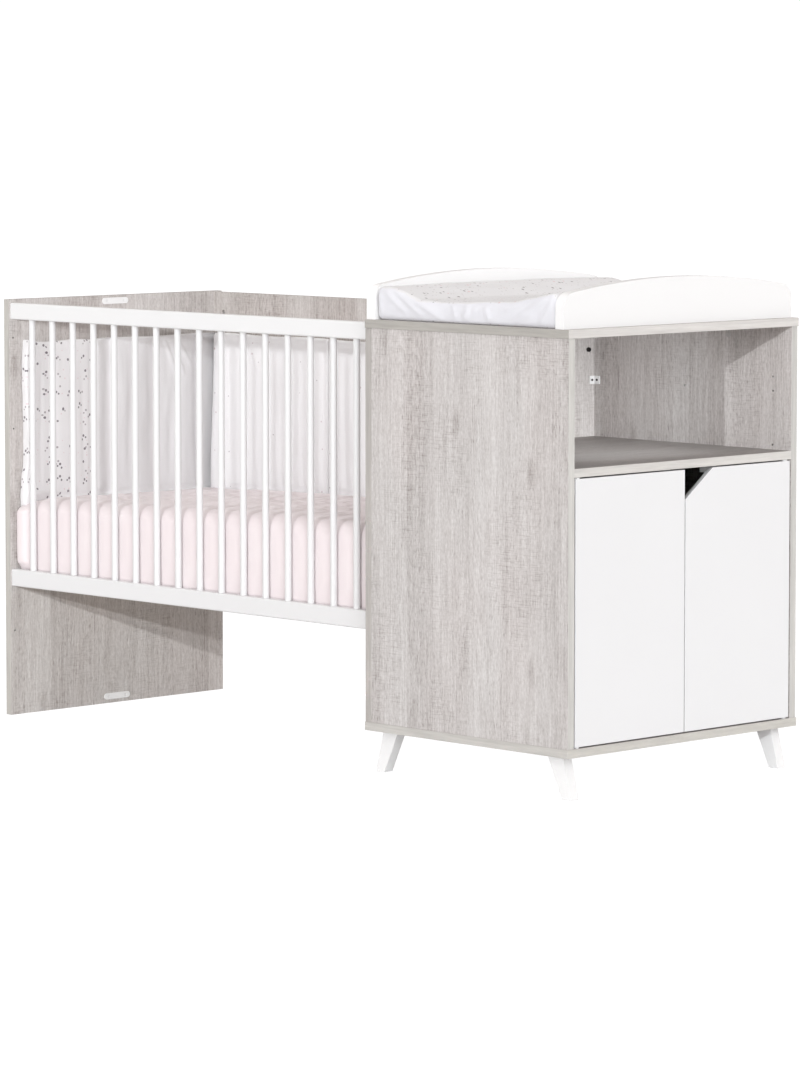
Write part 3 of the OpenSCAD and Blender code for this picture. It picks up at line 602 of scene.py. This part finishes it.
def pad_cloth(name):
    """Coated cotton of the changing pad: plain on the sides, tiny scattered specks on the top."""
    g = Graph(name)
    x, y, z = g.xyz()
    tc = g.node("TexCoord").outputs["Object"]
    u, v = in_plane(g)
    h = weave(g, u, v, 0.0009)
    slub = g.noise(tc, 260.0, 2.0, 0.6)
    cloud = g.noise(tc, 6.0, 3.0, 0.5)
    f = g.add(g.add(g.mul(h, 0.25), g.mul(slub, 0.3)), g.mul(cloud, 0.45))
    side = g.ramp(f, [(0.25, (0.64, 0.642, 0.68)), (0.8, (0.69, 0.692, 0.725))])
    top = g.ramp(f, [(0.25, (0.625, 0.622, 0.632)), (0.8, (0.695, 0.692, 0.70))])
    a = dots(g, x, y, 0.014, 0.0017, 0.5, 6)
    b = dots(g, x, y, 0.024, 0.0026, 0.45, 7)
    c = dots(g, x, y, 0.038, 0.0024, 0.35, 8)
    top = g.mix(g.mul(a, 0.55), top, (0.36, 0.33, 0.33))
    top = g.mix(g.mul(b, 0.8), top, (0.16, 0.14, 0.15))
    top = g.mix(g.mul(c, 0.6), top, (0.62, 0.33, 0.34))
    ny = g.math("ABSOLUTE", g.xyz("Normal")[1])
    is_end = g.math("GREATER_THAN", ny, 0.72)
    col = g.mix(is_end, top, side)
    g.set("Base Color", col)
    g.set("Roughness", g.remap(slub, 0.3, 0.7, 0.50, 0.62))
    g.set("Specular IOR Level", 0.35)
    g.set("Sheen Weight", 0.08)
    g.set("Normal", g.bump(g.add(g.mul(h, 0.5), g.mul(slub, 0.5)), 0.25, 0.0003))
    return g.mat


# ---------------------------------------------------------------- finishes on the CAD nodes
def finish(node, mat):
    ob = NODES[node]
    ob.data.materials.clear()
    ob.data.materials.append(mat)


# each board's tone and edge colours below are set for the light that board receives in this view: painted light and
# shade; the far side's darker front edge stands in for the doors' shadow
finish("end_panel", laminate("oak_end_panel", "y", "z", 1, 0.96, 0.6, 1.0, (0.42, 0.40, 0.38), (0.385, 0.37, 0.345)))
finish("crib_back_panel", laminate("oak_back_panel", "x", "z", 2, 0.93, 1.0, 1.0, (0.42, 0.40, 0.38)))
finish("changer_side_near", laminate("oak_side_near", "x", "z", 3, 0.955, 0.3, 1.0))
finish("changer_side_far", laminate("oak_side_far", "x", "z", 4, 1.03, 0.4, 1.0, (0.52, 0.51, 0.49)))
finish("changer_rear_panel", laminate("oak_rear_panel", "y", "z", 5, 1.08, 0.3, 0.9, (0.50, 0.48, 0.46), (0.50, 0.48, 0.46)))
finish("changer_top", laminate("oak_top", "x", "y", 6, 1.0, 0.3, 0.8, (0.60, 0.58, 0.56), (0.385, 0.37, 0.345)))
finish("changer_base", laminate("oak_base", "x", "y", 7, 1.0, 0.3, 0.8, (0.525, 0.51, 0.475), (0.505, 0.49, 0.465)))
# the niche shelf gets tone 0.575, far darker than the other boards: painted shade for the shadow inside the niche
finish("niche_shelf", laminate("oak_niche_shelf_painted_shade", "x", "y", 8, 0.575, 0.8, 0.6, (0.58, 0.565, 0.54)))
finish("cupboard_shelf", laminate("oak_cupboard_shelf", "x", "y", 9, 0.9, 0.4, 0.7))

# six copies of one white lacquer, their base tones (0.69 to 0.82) set part by part for the light each part receives:
# painted light and shade
WHITE = lacquer("white_lacquer", (0.735, 0.738, 0.742))
WHITE_GUARD = lacquer("white_lacquer_guard_front", (0.775, 0.775, 0.775))
WHITE_GUARD_R = lacquer("white_lacquer_guard_rear", (0.82, 0.82, 0.82))
WHITE_FEET = lacquer("white_lacquer_feet", (0.80, 0.80, 0.80))
WHITE_DOOR = lacquer("white_lacquer_doors", (0.71, 0.712, 0.72), 0.34)
finish("front_top_rail", WHITE)
WHITE_BARS = lacquer("white_lacquer_bars", (0.69, 0.69, 0.695))
for n in ("front_lower_rail", "front_bars"):
    finish(n, WHITE_BARS)
finish("guard_front", WHITE_GUARD)
finish("guard_rear", WHITE_GUARD_R)
for n in ("foot_front_near", "foot_front_far", "foot_rear_near", "foot_rear_far"):
    finish(n, WHITE_FEET)
finish("door_near", WHITE_DOOR)
finish("door_far", WHITE_DOOR)
PLASTIC = plastic("white_plastic", (0.80, 0.80, 0.80))
for n in ("end_panel_inserts", "bushes_near", "bushes_far", "magnetic_catches", "corner_brackets"):
    finish(n, PLASTIC)
finish("insert_screws", plastic("white_screw_heads", (0.75, 0.75, 0.75), 0.38))
finish("bolt_caps", plastic("cap_plastic", (0.46, 0.44, 0.42)))
finish("crib_bolts", metal("black_bolt", (0.075, 0.072, 0.070), 0.42, "x"))
STEEL = metal("zinc_steel", (0.56, 0.55, 0.54), 0.34, "z")
for n in ("barrel_nuts", "base_brackets", "bracket_screws", "shelf_pins", "pivot_pins", "strike_plate_near", "strike_plate_far", "guard_screws", "foot_bolts", "insert_nuts", "cam_discs", "cam_bolts", "panel_screws"):
    finish(n, STEEL)
finish("bracket_rivets", metal("bracket_rivet_steel", (0.12, 0.115, 0.11), 0.4, "z"))
finish("base_side_rails", beech("beech_side_rails", "x", 1))
finish("base_end_rails", beech("beech_end_rails", "y", 2))
finish("base_slats", beech("beech_slats", "y", 3))
finish("dowels", beech("beech_dowels", "z", 4))

# ---------------------------------------------------------------- soft goods
# everything below is in design millimetres until make_mesh() places it
PINK = fabric("pink_jersey", (0.725, 0.655, 0.665), 0.0013, 0.25, 0.02, 0.88, 0.4, (0.745, 0.69, 0.695)).mat
TICKING = fabric("mattress_ticking", (0.80, 0.79, 0.77), 0.0011, 0.15, 0.03).mat
# the same white cotton in three tones (0.69 to 0.775), set segment by segment for the light each receives: painted
# light and shade
DOT_CLOTH = bumper_cloth("bumper_cotton_dots", "yz", "clusters", 0.775)
END_CLOTH = bumper_cloth("bumper_cotton_end", "yz", None, 0.69)
BACK_CLOTH = bumper_cloth("bumper_cotton_back", "xz", "sparse", 0.73)
PAD = pad_cloth("pad_coated_cotton")

MX0, MX1, MY0, MY1, MZ0 = 18.5, 1218.5, 26.3, 626.3, 338.0


def bed_top(x, y):
    """Height of the sheet's top, crowned along the front and lower at the back and by the end panel."""
    front = 499 + 12 * smooth(30, 130, x) + 16 * smooth(100, 1050, x)
    back = 498 + 11 * smooth(60, 500, x)
    t = smooth(20, 640, y)
    z = front * (1 - t) + back * t
    p = np.stack([x / 210.0, y / 170.0, np.zeros_like(x)], 1)
    return z + 1.6 * fbm(p, 11, 2)


def drop(d, r):
    """How far a rounded edge of radius r has fallen at distance d from the side."""
    t = np.clip(r - d, 0, r)
    return r - np.sqrt(r * r - t * t)


def drop_x(d, rx, rz):
    """The same for an edge that is rx deep and rz high."""
    t = np.clip(1 - d / rx, 0, 1)
    return rz * (1 - np.sqrt(1 - t * t))


def sheet_z(x, y):
    """Height of the fitted sheet, with its rounded top edges."""
    return bed_top(x, y) - np.minimum(drop_x(x - MX0, 10.0, 32.0) + drop(y - (MY0 - 1.5), 32.0) + drop(MY1 - y, 32.0) + drop_x(MX1 - x, 10.0, 32.0), 32.0)


def bed_shape(lo, hi, r, step, inset=0.0):
    pos, nrm, quads, ijk, n = round_box(lo, hi, r, step, 1.2)
    x, y, z = pos.T
    base_h = hi[2] - lo[2]
    k = (z - lo[2]) / base_h
    top = bed_top(x, y) - inset
    z = np.where(z > lo[2] + 40, lo[2] + 40 + (z - lo[2] - 40) * (top - lo[2] - 40) / (base_h - 40), z)
    z = np.maximum(z, lo[2])
    return np.stack([x, y, z], 1), nrm, quads, ijk, n


def mattress_core():
    lo, hi = (MX0 + 3, MY0 + 2.5, MZ0), (MX1 - 3, MY1 - 3, 514.0)
    pos, nrm, quads, ijk, n = bed_shape(lo, hi, (10, 32, 32), 11.0, 5.5)
    ob = make_mesh("mattress_core", pos, quads, TICKING)
    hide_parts("mattress")
    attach(ob, "crib")
    return ob


def fitted_sheet():
    lo, hi = (MX0, MY0 - 1.5, MZ0 + 0.5), (MX1, MY1, 514.0)
    pos, nrm, quads, ijk, n = bed_shape(lo, hi, (10, 32, 32), 4.6)
    x, y, z = pos.T
    nx, ny, nz = nrm.T
    # front face: hangs straight behind the bars, swells out in the first bay and over the rounded top edge
    front = np.clip(-ny, 0, 1)
    up = smooth(342, 400, z) * (1 - smooth(478, 512, z))
    bay = (1 - smooth(44, 74, x)) * smooth(342, 362, z) * (1 - smooth(476, 508, z))
    # the cloth presses out a little between the bars
    between = np.sin(np.pi * (x - 83.5) / 72.4) ** 2 * (x > 83.5) * (1 - smooth(1160, 1190, x))
    out = 0.9 * up + 13.0 * bay + 3.2 * up * between
    # faint diagonal drags low on the front, towards the corners
    for a, b, w, h in (
        ((640, 352), (790, 420), 9, 1.3), ((700, 345), (880, 400), 8, 1.1), ((560, 350), (650, 385), 8, 0.9),
        ((300, 350), (420, 392), 9, 0.8), ((90, 350), (190, 388), 8, 1.0), ((980, 350), (1120, 430), 10, 1.4),
        ((1080, 350), (1180, 400), 8, 1.2), ((430, 470), (520, 440), 10, 0.6), ((820, 480), (930, 440), 10, 0.7),
    ):
        out = out + fold(x, z, a, b, w, h)
    p = np.stack([x / 60.0, y / 60.0, z / 60.0], 1)
    out = out + 0.45 * fbm(p, 5, 2)
    y = y - front * np.clip(out, -1.2, 15)
    # top: a few long soft creases, drawn from the corners
    topf = np.clip(nz, 0, 1)
    lift = np.zeros_like(x)
    for a, b, w, h in (
        ((60, 60), (190, 200), 12, 1.6), ((40, 110), (120, 300), 12, 1.2), ((1200, 70), (1040, 220), 14, 1.8),
        ((1190, 560), (1060, 430), 14, 1.6), ((400, 120), (620, 150), 10, 0.9), ((660, 210), (900, 180), 12, 1.0),
        ((240, 330), (520, 420), 16, 1.0), ((700, 480), (980, 400), 16, 1.1),
    ):
        lift = lift + fold(x, y, a, b, w, h)
    # creases that run back from every gap between the bars, and cross wrinkles further in
    for i in range(16):
        xb = 83.5 + 72.4 * i
        amp = -2.8 + 0.7 * math.sin(2.1 * i)
        lift = lift + fold(x, y, (xb + 16, -30), (xb - 34, 190), 6.5, amp, 0.3)
        lift = lift + fold(x, y, (xb + 40, 10), (xb - 20 + 9 * math.cos(1.7 * i), 300), 8.0, 0.55 * amp)
    ridge = 1 - np.abs(fbm(np.stack([(x + 0.3 * y) / 46.0, y / 150.0, x * 0 + 3], 1), 61, 2))
    cross = 1 - np.abs(fbm(np.stack([x / 130.0, (y + 0.18 * x) / 30.0, x * 0 + 7], 1), 62, 3))
    back = smooth(60, 200, y)
    lift = lift + 4.4 * (ridge - 0.6) * (1 - 0.5 * back) + 6.6 * (cross - 0.6) * back
    free = smooth(48, 75, x) * (1 - smooth(580, 606, y))
    z = z + topf * free * (lift + 0.5 * fbm(np.stack([x / 70.0, y / 50.0, z * 0], 1), 6, 2))
    # under the mattress: an open hem
    pos = np.stack([x, y, z], 1)
    under = (ijk[:, 2] == 0)
    inner = under & (x > MX0 + 40) & (x < MX1 - 40) & (y > MY0 + 38) & (y < MY1 - 40)
    keep = ~(inner[quads].all(1))
    quads = quads[keep]
    used = np.unique(quads)
    remap = -np.ones(len(pos), int)
    remap[used] = np.arange(len(used))
    ob = make_mesh("fitted_sheet", pos[used], remap[quads], PINK)
    sol = ob.modifiers.new("thickness", "SOLIDIFY")
    sol.thickness = 0.0008
    sol.offset = -1.0
    apply_modifiers(ob)
    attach(ob, "crib")
    return ob


def apply_modifiers(ob):
    dg = bpy.context.evaluated_depsgraph_get()
    dg.update()
    me = bpy.data.meshes.new_from_object(ob.evaluated_get(dg), preserve_all_data_layers=True, depsgraph=dg)
    me.name = ob.name
    old = ob.data
    ob.modifiers.clear()
    ob.data = me
    bpy.data.meshes.remove(old)


def quilt(name, plane, a0, a1, w0, w1, z0f, z1f, mat, replaces, seed, folds=(), step=3.6, bottom_bulge=None, crown=5.0, wavy=False):
    """One padded bumper segment: along a (y or x), across w (x or y), standing up in z.
    The wall side w_back stays flat, the free side swells between its edge seams."""
    r = 7.5
    lo = np.array([w0, a0, 0.0]) if plane == "yz" else np.array([a0, w0, 0.0])
    hi = np.array([w1, a1, 356.0]) if plane == "yz" else np.array([a1, w1, 356.0])
    pos, nrm, quads, ijk, n = round_box(lo, hi, (r, r, r), step, 2.5)
    x, y, z = pos.T.copy()
    a = y if plane == "yz" else x
    w = x if plane == "yz" else y
    free = np.clip(nrm[:, 0], 0, 1) if plane == "yz" else np.clip(-nrm[:, 1], 0, 1)
    sgn = 1.0 if plane == "yz" else -1.0
    s = (a - a0) / (a1 - a0)
    t = z / 356.0
    # height: the bottom follows what it stands on, the top sags softly between the ties
    zb, zt = z0f(x, y), z1f(a)
    foot = z0f(x, y, True)
    zz = zb + (zt - zb) * t
    # the lowest part is pressed down over the sheet's rounded edge
    zz = zz - (zb - foot) * np.clip(1 - t / 0.06, 0, 1)
    # thickness: fullest in the middle, drawn in at the edges by the seams
    edge = np.minimum(np.minimum(s, 1 - s) * (a1 - a0), np.minimum(t, 1 - t) * 356.0)
    swell = (1 - np.exp(-edge / 28.0))
    out = -crown + crown * swell
    # the stitched line 9 mm inside the edge
    out = out - 1.6 * np.exp(-(((edge - 9.0) / 2.6) ** 2))
    q = np.stack([a / 46.0, zz / 150.0, np.full_like(a, seed)], 1)
    out = out + 1.5 * fbm(q, seed, 3, 0.5) * swell
    pucker = vnoise(np.stack([a / 9.0, zz / 9.0, np.full_like(a, seed + 3)], 1), seed + 5)
    out = out + 0.55 * pucker * np.exp(-(((edge - 12.0) / 12.0) ** 2))
    for f in folds:
        out = out + fold(a, zz, *f[:4], *(f[4:] if len(f) > 4 else ()))
    if bottom_bulge is not None:
        out = out + bottom_bulge(a, zz)
    wn = w + sgn * free * out
    if plane == "yz":
        x = wn
    else:
        y = wn
    if wavy:  # the free near end: gathered by its seam, with rounded corners that lean back from the bars
        near = np.clip(-nrm[:, 1], 0, 1)
        y = y + near * (1.0 + 1.6 * np.sin(zz / 11.5) * np.sin(zz / 29.0 + 1.0) + 7.0 * smooth(845, 872, zz)
                        + 6.0 * np.exp(-(((zz - 650) / 60.0) ** 2)) - 8.0 * (1 - smooth(512, 590, zz)))
    ob = make_mesh(name, np.stack([x, y, zz], 1), quads, mat)
    if replaces:
        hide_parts(*replaces)
    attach(ob, "crib")
    return ob


def const(v):
    return lambda a: np.full_like(a, v)


def bumpers():
    def bed_l(x, y, low=False):
        return (sheet_z(x, y) if low else bed_top(np.full_like(y, 42.0), y)) - 0.6

    # near segment, dotted print
    top_a = lambda y: 870 + 5.0 * (1 - smooth(34, 70, y)) + 1.2 * np.sin(y / 23.0)
    quilt("bumper_end_dots", "yz", 32.0, 233.0, 18.8, 45.0, bed_l, top_a, DOT_CLOTH, ["bumper_end"], 21, (
        ((70, 520), (78, 850), 7, -2.8), ((118, 515), (112, 840), 9, -2.6), ((165, 520), (172, 860), 8, -2.4),
        ((205, 520), (200, 800), 8, -2.2), ((95, 860), (110, 760), 6, 1.4),
    ), bottom_bulge=lambda a, z: 7.0 * np.exp(-(((z - 518) / 18.0) ** 2)) * (1 - smooth(60, 140, a)), wavy=True)
    # second segment, plain, up to the corner
    quilt("bumper_end_plain", "yz", 235.0, 636.5, 18.8, 45.0, bed_l, lambda y: 870 + 1.0 * np.sin(y / 40.0), END_CLOTH, ["bumper_end"], 22, (
        ((330, 505), (326, 868), 14, 1.2), ((345, 520), (350, 860), 10, -2.4), ((418, 505), (412, 866), 13, -4.4),
        ((470, 868), (520, 770), 6, 3.0), ((455, 866), (500, 760), 6, 2.6), ((490, 868), (545, 790), 6, 2.4),
        ((563, 510), (558, 850), 9, -4.2), ((470, 510), (480, 760), 12, -2.4),
    ), bottom_bulge=lambda a, z: -13.0 * smooth(515, 620, a) - 8.0 * smooth(248, 286, a) * (1 - smooth(289, 307, a)))
    def bed_b(x, y, low=False):
        return (sheet_z(x, y) if low else bed_top(x, np.full_like(x, 612.0))) - 0.6

    segs = ((44.0, 441.0), (443.0, 838.0), (840.0, 1233.5))
    for i, (a0, a1) in enumerate(segs):
        L = a1 - a0
        quilt(f"bumper_back_{i + 1}", "xz", a0, a1, 611.0, 637.4, bed_b, lambda x: 870 + 1.4 * np.sin(x / 47.0), BACK_CLOTH, ["bumper_back"], 31 + i, (
            ((a0 + 0.16 * L, 520), (a0 + 0.14 * L, 850), 10, -2.0), ((a0 + 0.34 * L, 515), (a0 + 0.37 * L, 830), 11, -1.8),
            ((a0 + 0.52 * L, 520), (a0 + 0.50 * L, 860), 10, -2.0), ((a0 + 0.70 * L, 520), (a0 + 0.74 * L, 850), 11, -1.8),
            ((a0 + 0.87 * L, 520), (a0 + 0.85 * L, 800), 9, -1.8), ((a0 + 0.30 * L, 860), (a0 + 0.44 * L, 770), 7, 1.4),
            ((a0 + 0.60 * L, 535), (a0 + 0.80 * L, 600), 8, 1.2),
        ), step=4.2, bottom_bulge=(lambda a, z: (6.0 + 13.0 * (1 - smooth(520, 850, z))) * (1 - smooth(50, 130, a))) if i == 0 else None)


PX0, PX1, PY0, PY1, PZ0 = 1261.8, 1792.2, -17.0, 681.0, 970.35


def pad_profile(x):
    """Height of the changing pad's top over its width: two raised long edges and a dished middle."""
    pts = np.array([(1261, 1037.5), (1272, 1040.0), (1300, 1040.2), (1320, 1037.6), (1350, 1029.0), (1390, 1016.4), (1450, 1014.2),
                    (1560, 1017.0), (1658, 1021.4), (1710, 1030.0), (1750, 1038.6), (1775, 1042.6), (1786, 1041.0), (1794, 1036.0)], float)
    fine = np.linspace(1255, 1800, 546)
    h = np.interp(fine, pts[:, 0], pts[:, 1])
    k = np.exp(-np.linspace(-2.2, 2.2, 31) ** 2)
    h = np.convolve(np.pad(h, 15, mode="edge"), k / k.sum(), mode="valid")
    return np.interp(x, fine, h)


def changing_pad():
    top = 1040.0
    lo, hi = (PX0, PY0, PZ0), (PX1, PY1, top)
    pos, nrm, quads, ijk, n = round_box(lo, hi, (15, 11, 12), 4.5)
    x, y, z = pos.T.copy()
    h = pad_profile(x)
    # the ends stand a little lower than the middle of the long edges
    t = (y - PY0) / (PY1 - PY0)
    wing = smooth(1018, 1040, h)
    h = h + 3.0 * wing * np.sin(np.pi * t) ** 0.7
    k = (z - PZ0) / (top - PZ0)
    z = PZ0 + (h - PZ0) * k
    upf = np.clip(nrm[:, 2], 0, 1)
    endf = np.clip(-nrm[:, 1], 0, 1)
    farf = np.clip(nrm[:, 1], 0, 1)
    # lengthwise soft creases on the top
    d = 0.8 * fbm(np.stack([x / 34.0, y / 62.0, x * 0], 1), 41, 3)
    for a, b, w, hgt in (
        ((1340, 20), (1352, 420), 10, 1.8), ((1395, 60), (1380, 600), 12, -1.6), ((1700, 10), (1690, 380), 11, 1.6),
        ((1640, 180), (1655, 650), 12, -1.6), ((1500, 100), (1520, 500), 16, 1.2), ((1290, 120), (1300, 520), 9, 1.2),
        ((1765, 90), (1760, 560), 9, 1.2),
    ):
        d = d + 0.6 * fold(x, y, a, b, w, hgt)
    z = z + upf * d
    # near end: soft drags that fall from the raised edges towards the middle
    e = 1.6 * fbm(np.stack([x / 46.0, y * 0 + 2, z / 30.0], 1), 43, 3)
    for a, b, w, hgt in (
        ((1282, 1036), (1360, 984), 7, 4.0), ((1310, 1036), (1410, 980), 7, 4.4), ((1345, 1026), (1470, 974), 7, 3.6),
        ((1380, 1016), (1450, 992), 6, 2.6), ((1772, 1040), (1668, 978), 8, 4.6), ((1756, 1042), (1640, 1000), 7, 3.6),
        ((1785, 1030), (1740, 976), 8, 3.4), ((1540, 1014), (1524, 978), 8, 3.0), ((1585, 1014), (1600, 976), 7, 2.8),
        ((1490, 1012), (1502, 978), 7, 2.4), ((1270, 1032), (1280, 978), 6, 2.0), ((1560, 1010), (1552, 984), 5, 1.8),
    ):
        e = e + fold(x, z, a, b, w, hgt)
    bulge = 2.0 * np.sin(np.pi * np.clip(k, 0, 1))
    y = y - endf * (e * 0.8 + bulge - 3.2) + farf * (0.7 * fbm(np.stack([x / 60.0, y * 0 + 5, z / 34.0], 1), 44, 3) + bulge - 3.2)
    ob = make_mesh("changing_pad_cover", np.stack([x, y, z], 1), quads, PAD)
    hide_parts("changing_pad")
    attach(ob, "crib")
    return ob


mattress_core()
fitted_sheet()
bumpers()
changing_pad()

# ---------------------------------------------------------------- floor, light and sky
def floor():
    me = bpy.data.meshes.new("floor")
    s = 60.0
    me.from_pydata([(-s, -s, -0.0005), (s, -s, -0.0005), (s, s, -0.0005), (-s, s, -0.0005)], [], [(0, 1, 2, 3)])
    ob = bpy.data.objects.new("floor", me)
    bpy.context.scene.collection.objects.link(ob)
    g = Graph("pale_floor")
    tc = g.node("TexCoord").outputs["Object"]
    n = g.noise(tc, 4.0, 3.0)
    g.set("Base Color", g.ramp(n, [(0.3, (0.78, 0.78, 0.78)), (0.7, (0.82, 0.82, 0.82))]))
    g.set("Roughness", g.remap(n, 0.3, 0.7, 0.85, 0.95))
    g.set("Specular IOR Level", 0.0)
    # a lit white sweep: the view of it is nearly pure white, with only a trace of shadow
    white = g.node("Emission")
    g.put(white.inputs["Color"], (1.0, 1.0, 1.0))
    g.put(white.inputs["Strength"], 1.13)
    seen = g.node("MixShader")
    g.put(seen.inputs[0], 0.91)
    g.tree.links.new(g.bsdf.outputs[0], seen.inputs[1])
    g.tree.links.new(white.outputs[0], seen.inputs[2])
    path = g.node("LightPath")
    pick = g.node("MixShader")
    g.tree.links.new(path.outputs["Is Camera Ray"], pick.inputs[0])
    g.tree.links.new(g.bsdf.outputs[0], pick.inputs[1])
    g.tree.links.new(seen.outputs[0], pick.inputs[2])
    g.tree.links.new(pick.outputs[0], g.out.inputs[0])
    me.materials.append(g.mat)


floor()


def direction(azimuth, elevation):
    """Travel direction of a light that comes from the front, azimuth towards +X, from that elevation."""
    a, e = math.radians(azimuth), math.radians(elevation)
    return Vector((-math.sin(a) * math.cos(e), math.cos(a) * math.cos(e), -math.sin(e)))


def sun(name, strength, azimuth, elevation, angle, color=(1, 1, 1)):
    d = bpy.data.lights.new(name, "SUN")
    d.energy = strength
    d.angle = math.radians(angle)
    d.color = color
    ob = bpy.data.objects.new(name, d)
    bpy.context.scene.collection.objects.link(ob)
    ob.rotation_mode = "QUATERNION"
    ob.rotation_quaternion = direction(azimuth, elevation).to_track_quat("-Z", "Y")
    return ob


def receivers(light, names, state):
    """Light linking: the light reaches only these pieces ("INCLUDE") or all but these ("EXCLUDE")."""
    c = bpy.data.collections.new(light.name + "_linked")
    for n in names:
        c.objects.link(bpy.data.objects[n])
    for co in c.collection_objects:
        co.light_linking.link_state = state
    light.light_linking.receiver_collection = c


COOL = (0.975, 1.0, 1.02)
CLOTH = ["bumper_back_1", "bumper_back_2", "bumper_back_3"]
END = ["end_panel", "end_panel_inserts", "insert_screws", "bumper_end_dots", "bumper_end_plain"]
KEY = 1.0
receivers(sun("key", KEY, 15.8, 7.7, 0.6, COOL), CLOTH + ["bumper_end_dots", "fitted_sheet"], "EXCLUDE")
receivers(sun("key_sheet", 1.30, 15.8, 7.7, 0.6, COOL), ["fitted_sheet"], "INCLUDE")
receivers(sun("fill_sheet", 1.70, 60.0, 11.5, 26.0, COOL), ["fitted_sheet"], "INCLUDE")
for i, az in enumerate((8.0, 11.0, 14.0, 17.0, 20.0, 23.0)):  # the same key as a wide window on the white cloth
    receivers(sun(f"key_wide_{i}", 1.4 / 6, az, 7.7, 1.3, COOL), CLOTH, "INCLUDE")
def panel_light(name, at, size, energy, turn, spread=180.0):
    """A rectangular soft box at a place in design millimetres."""
    d = bpy.data.lights.new(name, "AREA")
    d.shape = "RECTANGLE"
    d.size, d.size_y = size
    d.energy = energy
    d.spread = math.radians(spread)
    d.color = COOL
    ob = bpy.data.objects.new(name, d)
    bpy.context.scene.collection.objects.link(ob)
    ob.location = dm(*at)
    ob.rotation_euler = [math.radians(t) for t in turn]
    ob.visible_camera = False
    ob.visible_glossy = False
    return ob


# two long strip boxes 4 m in front: their edges draw the two soft steps of shadow under the crib's lower rail
receivers(panel_light("strip_low", (4550.0, -3996.0, 1426.0), (5.3, 0.067), 172.0, (90, 0, 0)), END, "INCLUDE")
receivers(panel_light("strip_high", (4550.0, -3996.0, 1670.0), (5.3, 0.067), 225.0, (90, 0, 0)), END, "INCLUDE")
receivers(sun("fill", 2.55, 60.0, 10.0, 60.0, COOL), END + ["fitted_sheet"], "EXCLUDE")
NICHE = ["changer_rear_panel", "changer_side_far", "niche_shelf", "changer_top", "corner_brackets", "crib_bolts", "cam_discs"]
receivers(sun("niche_rear", 2.55, 84.0, 6.0, 50.0), ["changer_rear_panel", "corner_brackets", "crib_bolts"], "INCLUDE")
receivers(panel_light("niche_front", (1830.0, 332.0, 820.0), (0.40, 0.17), 1.0, (90, 0, 90), 110.0), NICHE, "INCLUDE")

world = bpy.data.worlds.new("studio")
bpy.context.scene.world = world
world.use_nodes = True
wt = world.node_tree
wt.nodes.clear()
w_out = wt.nodes.new("ShaderNodeOutputWorld")
w_mix = wt.nodes.new("ShaderNodeMixShader")
w_lp = wt.nodes.new("ShaderNodeLightPath")
w_fill = wt.nodes.new("ShaderNodeBackground")
w_seen = wt.nodes.new("ShaderNodeBackground")
w_fill.inputs[0].default_value = (1.04, 0.985, 0.955, 1.0)
# a little brighter overhead than at the horizon
w_tc = wt.nodes.new("ShaderNodeTexCoord")
w_sep = wt.nodes.new("ShaderNodeSeparateXYZ")
w_up = wt.nodes.new("ShaderNodeMapRange")
w_up.interpolation_type = "SMOOTHSTEP"
for s_, v_ in zip(list(w_up.inputs)[1:5], (0.15, 0.9, 0.42, 0.95)):
    s_.default_value = v_
wt.links.new(w_tc.outputs["Generated"], w_sep.inputs[0])
wt.links.new(w_sep.outputs[2], w_up.inputs[0])
wt.links.new(w_up.outputs[0], w_fill.inputs[1])
w_seen.inputs[0].default_value = (1.0, 1.0, 1.0, 1.0)
w_seen.inputs[1].default_value = 1.05
wt.links.new(w_lp.outputs["Is Camera Ray"], w_mix.inputs[0])
wt.links.new(w_fill.outputs[0], w_mix.inputs[1])
wt.links.new(w_seen.outputs[0], w_mix.inputs[2])
wt.links.new(w_mix.outputs[0], w_out.inputs[0])

sc = bpy.context.scene
sc.view_settings.view_transform = "Standard"
sc.view_settings.look = "None"
sc.view_settings.exposure = 0.0
sc.view_settings.gamma = 1.0

def corners(b):
    return [[float(c) for c in p] for p in b]
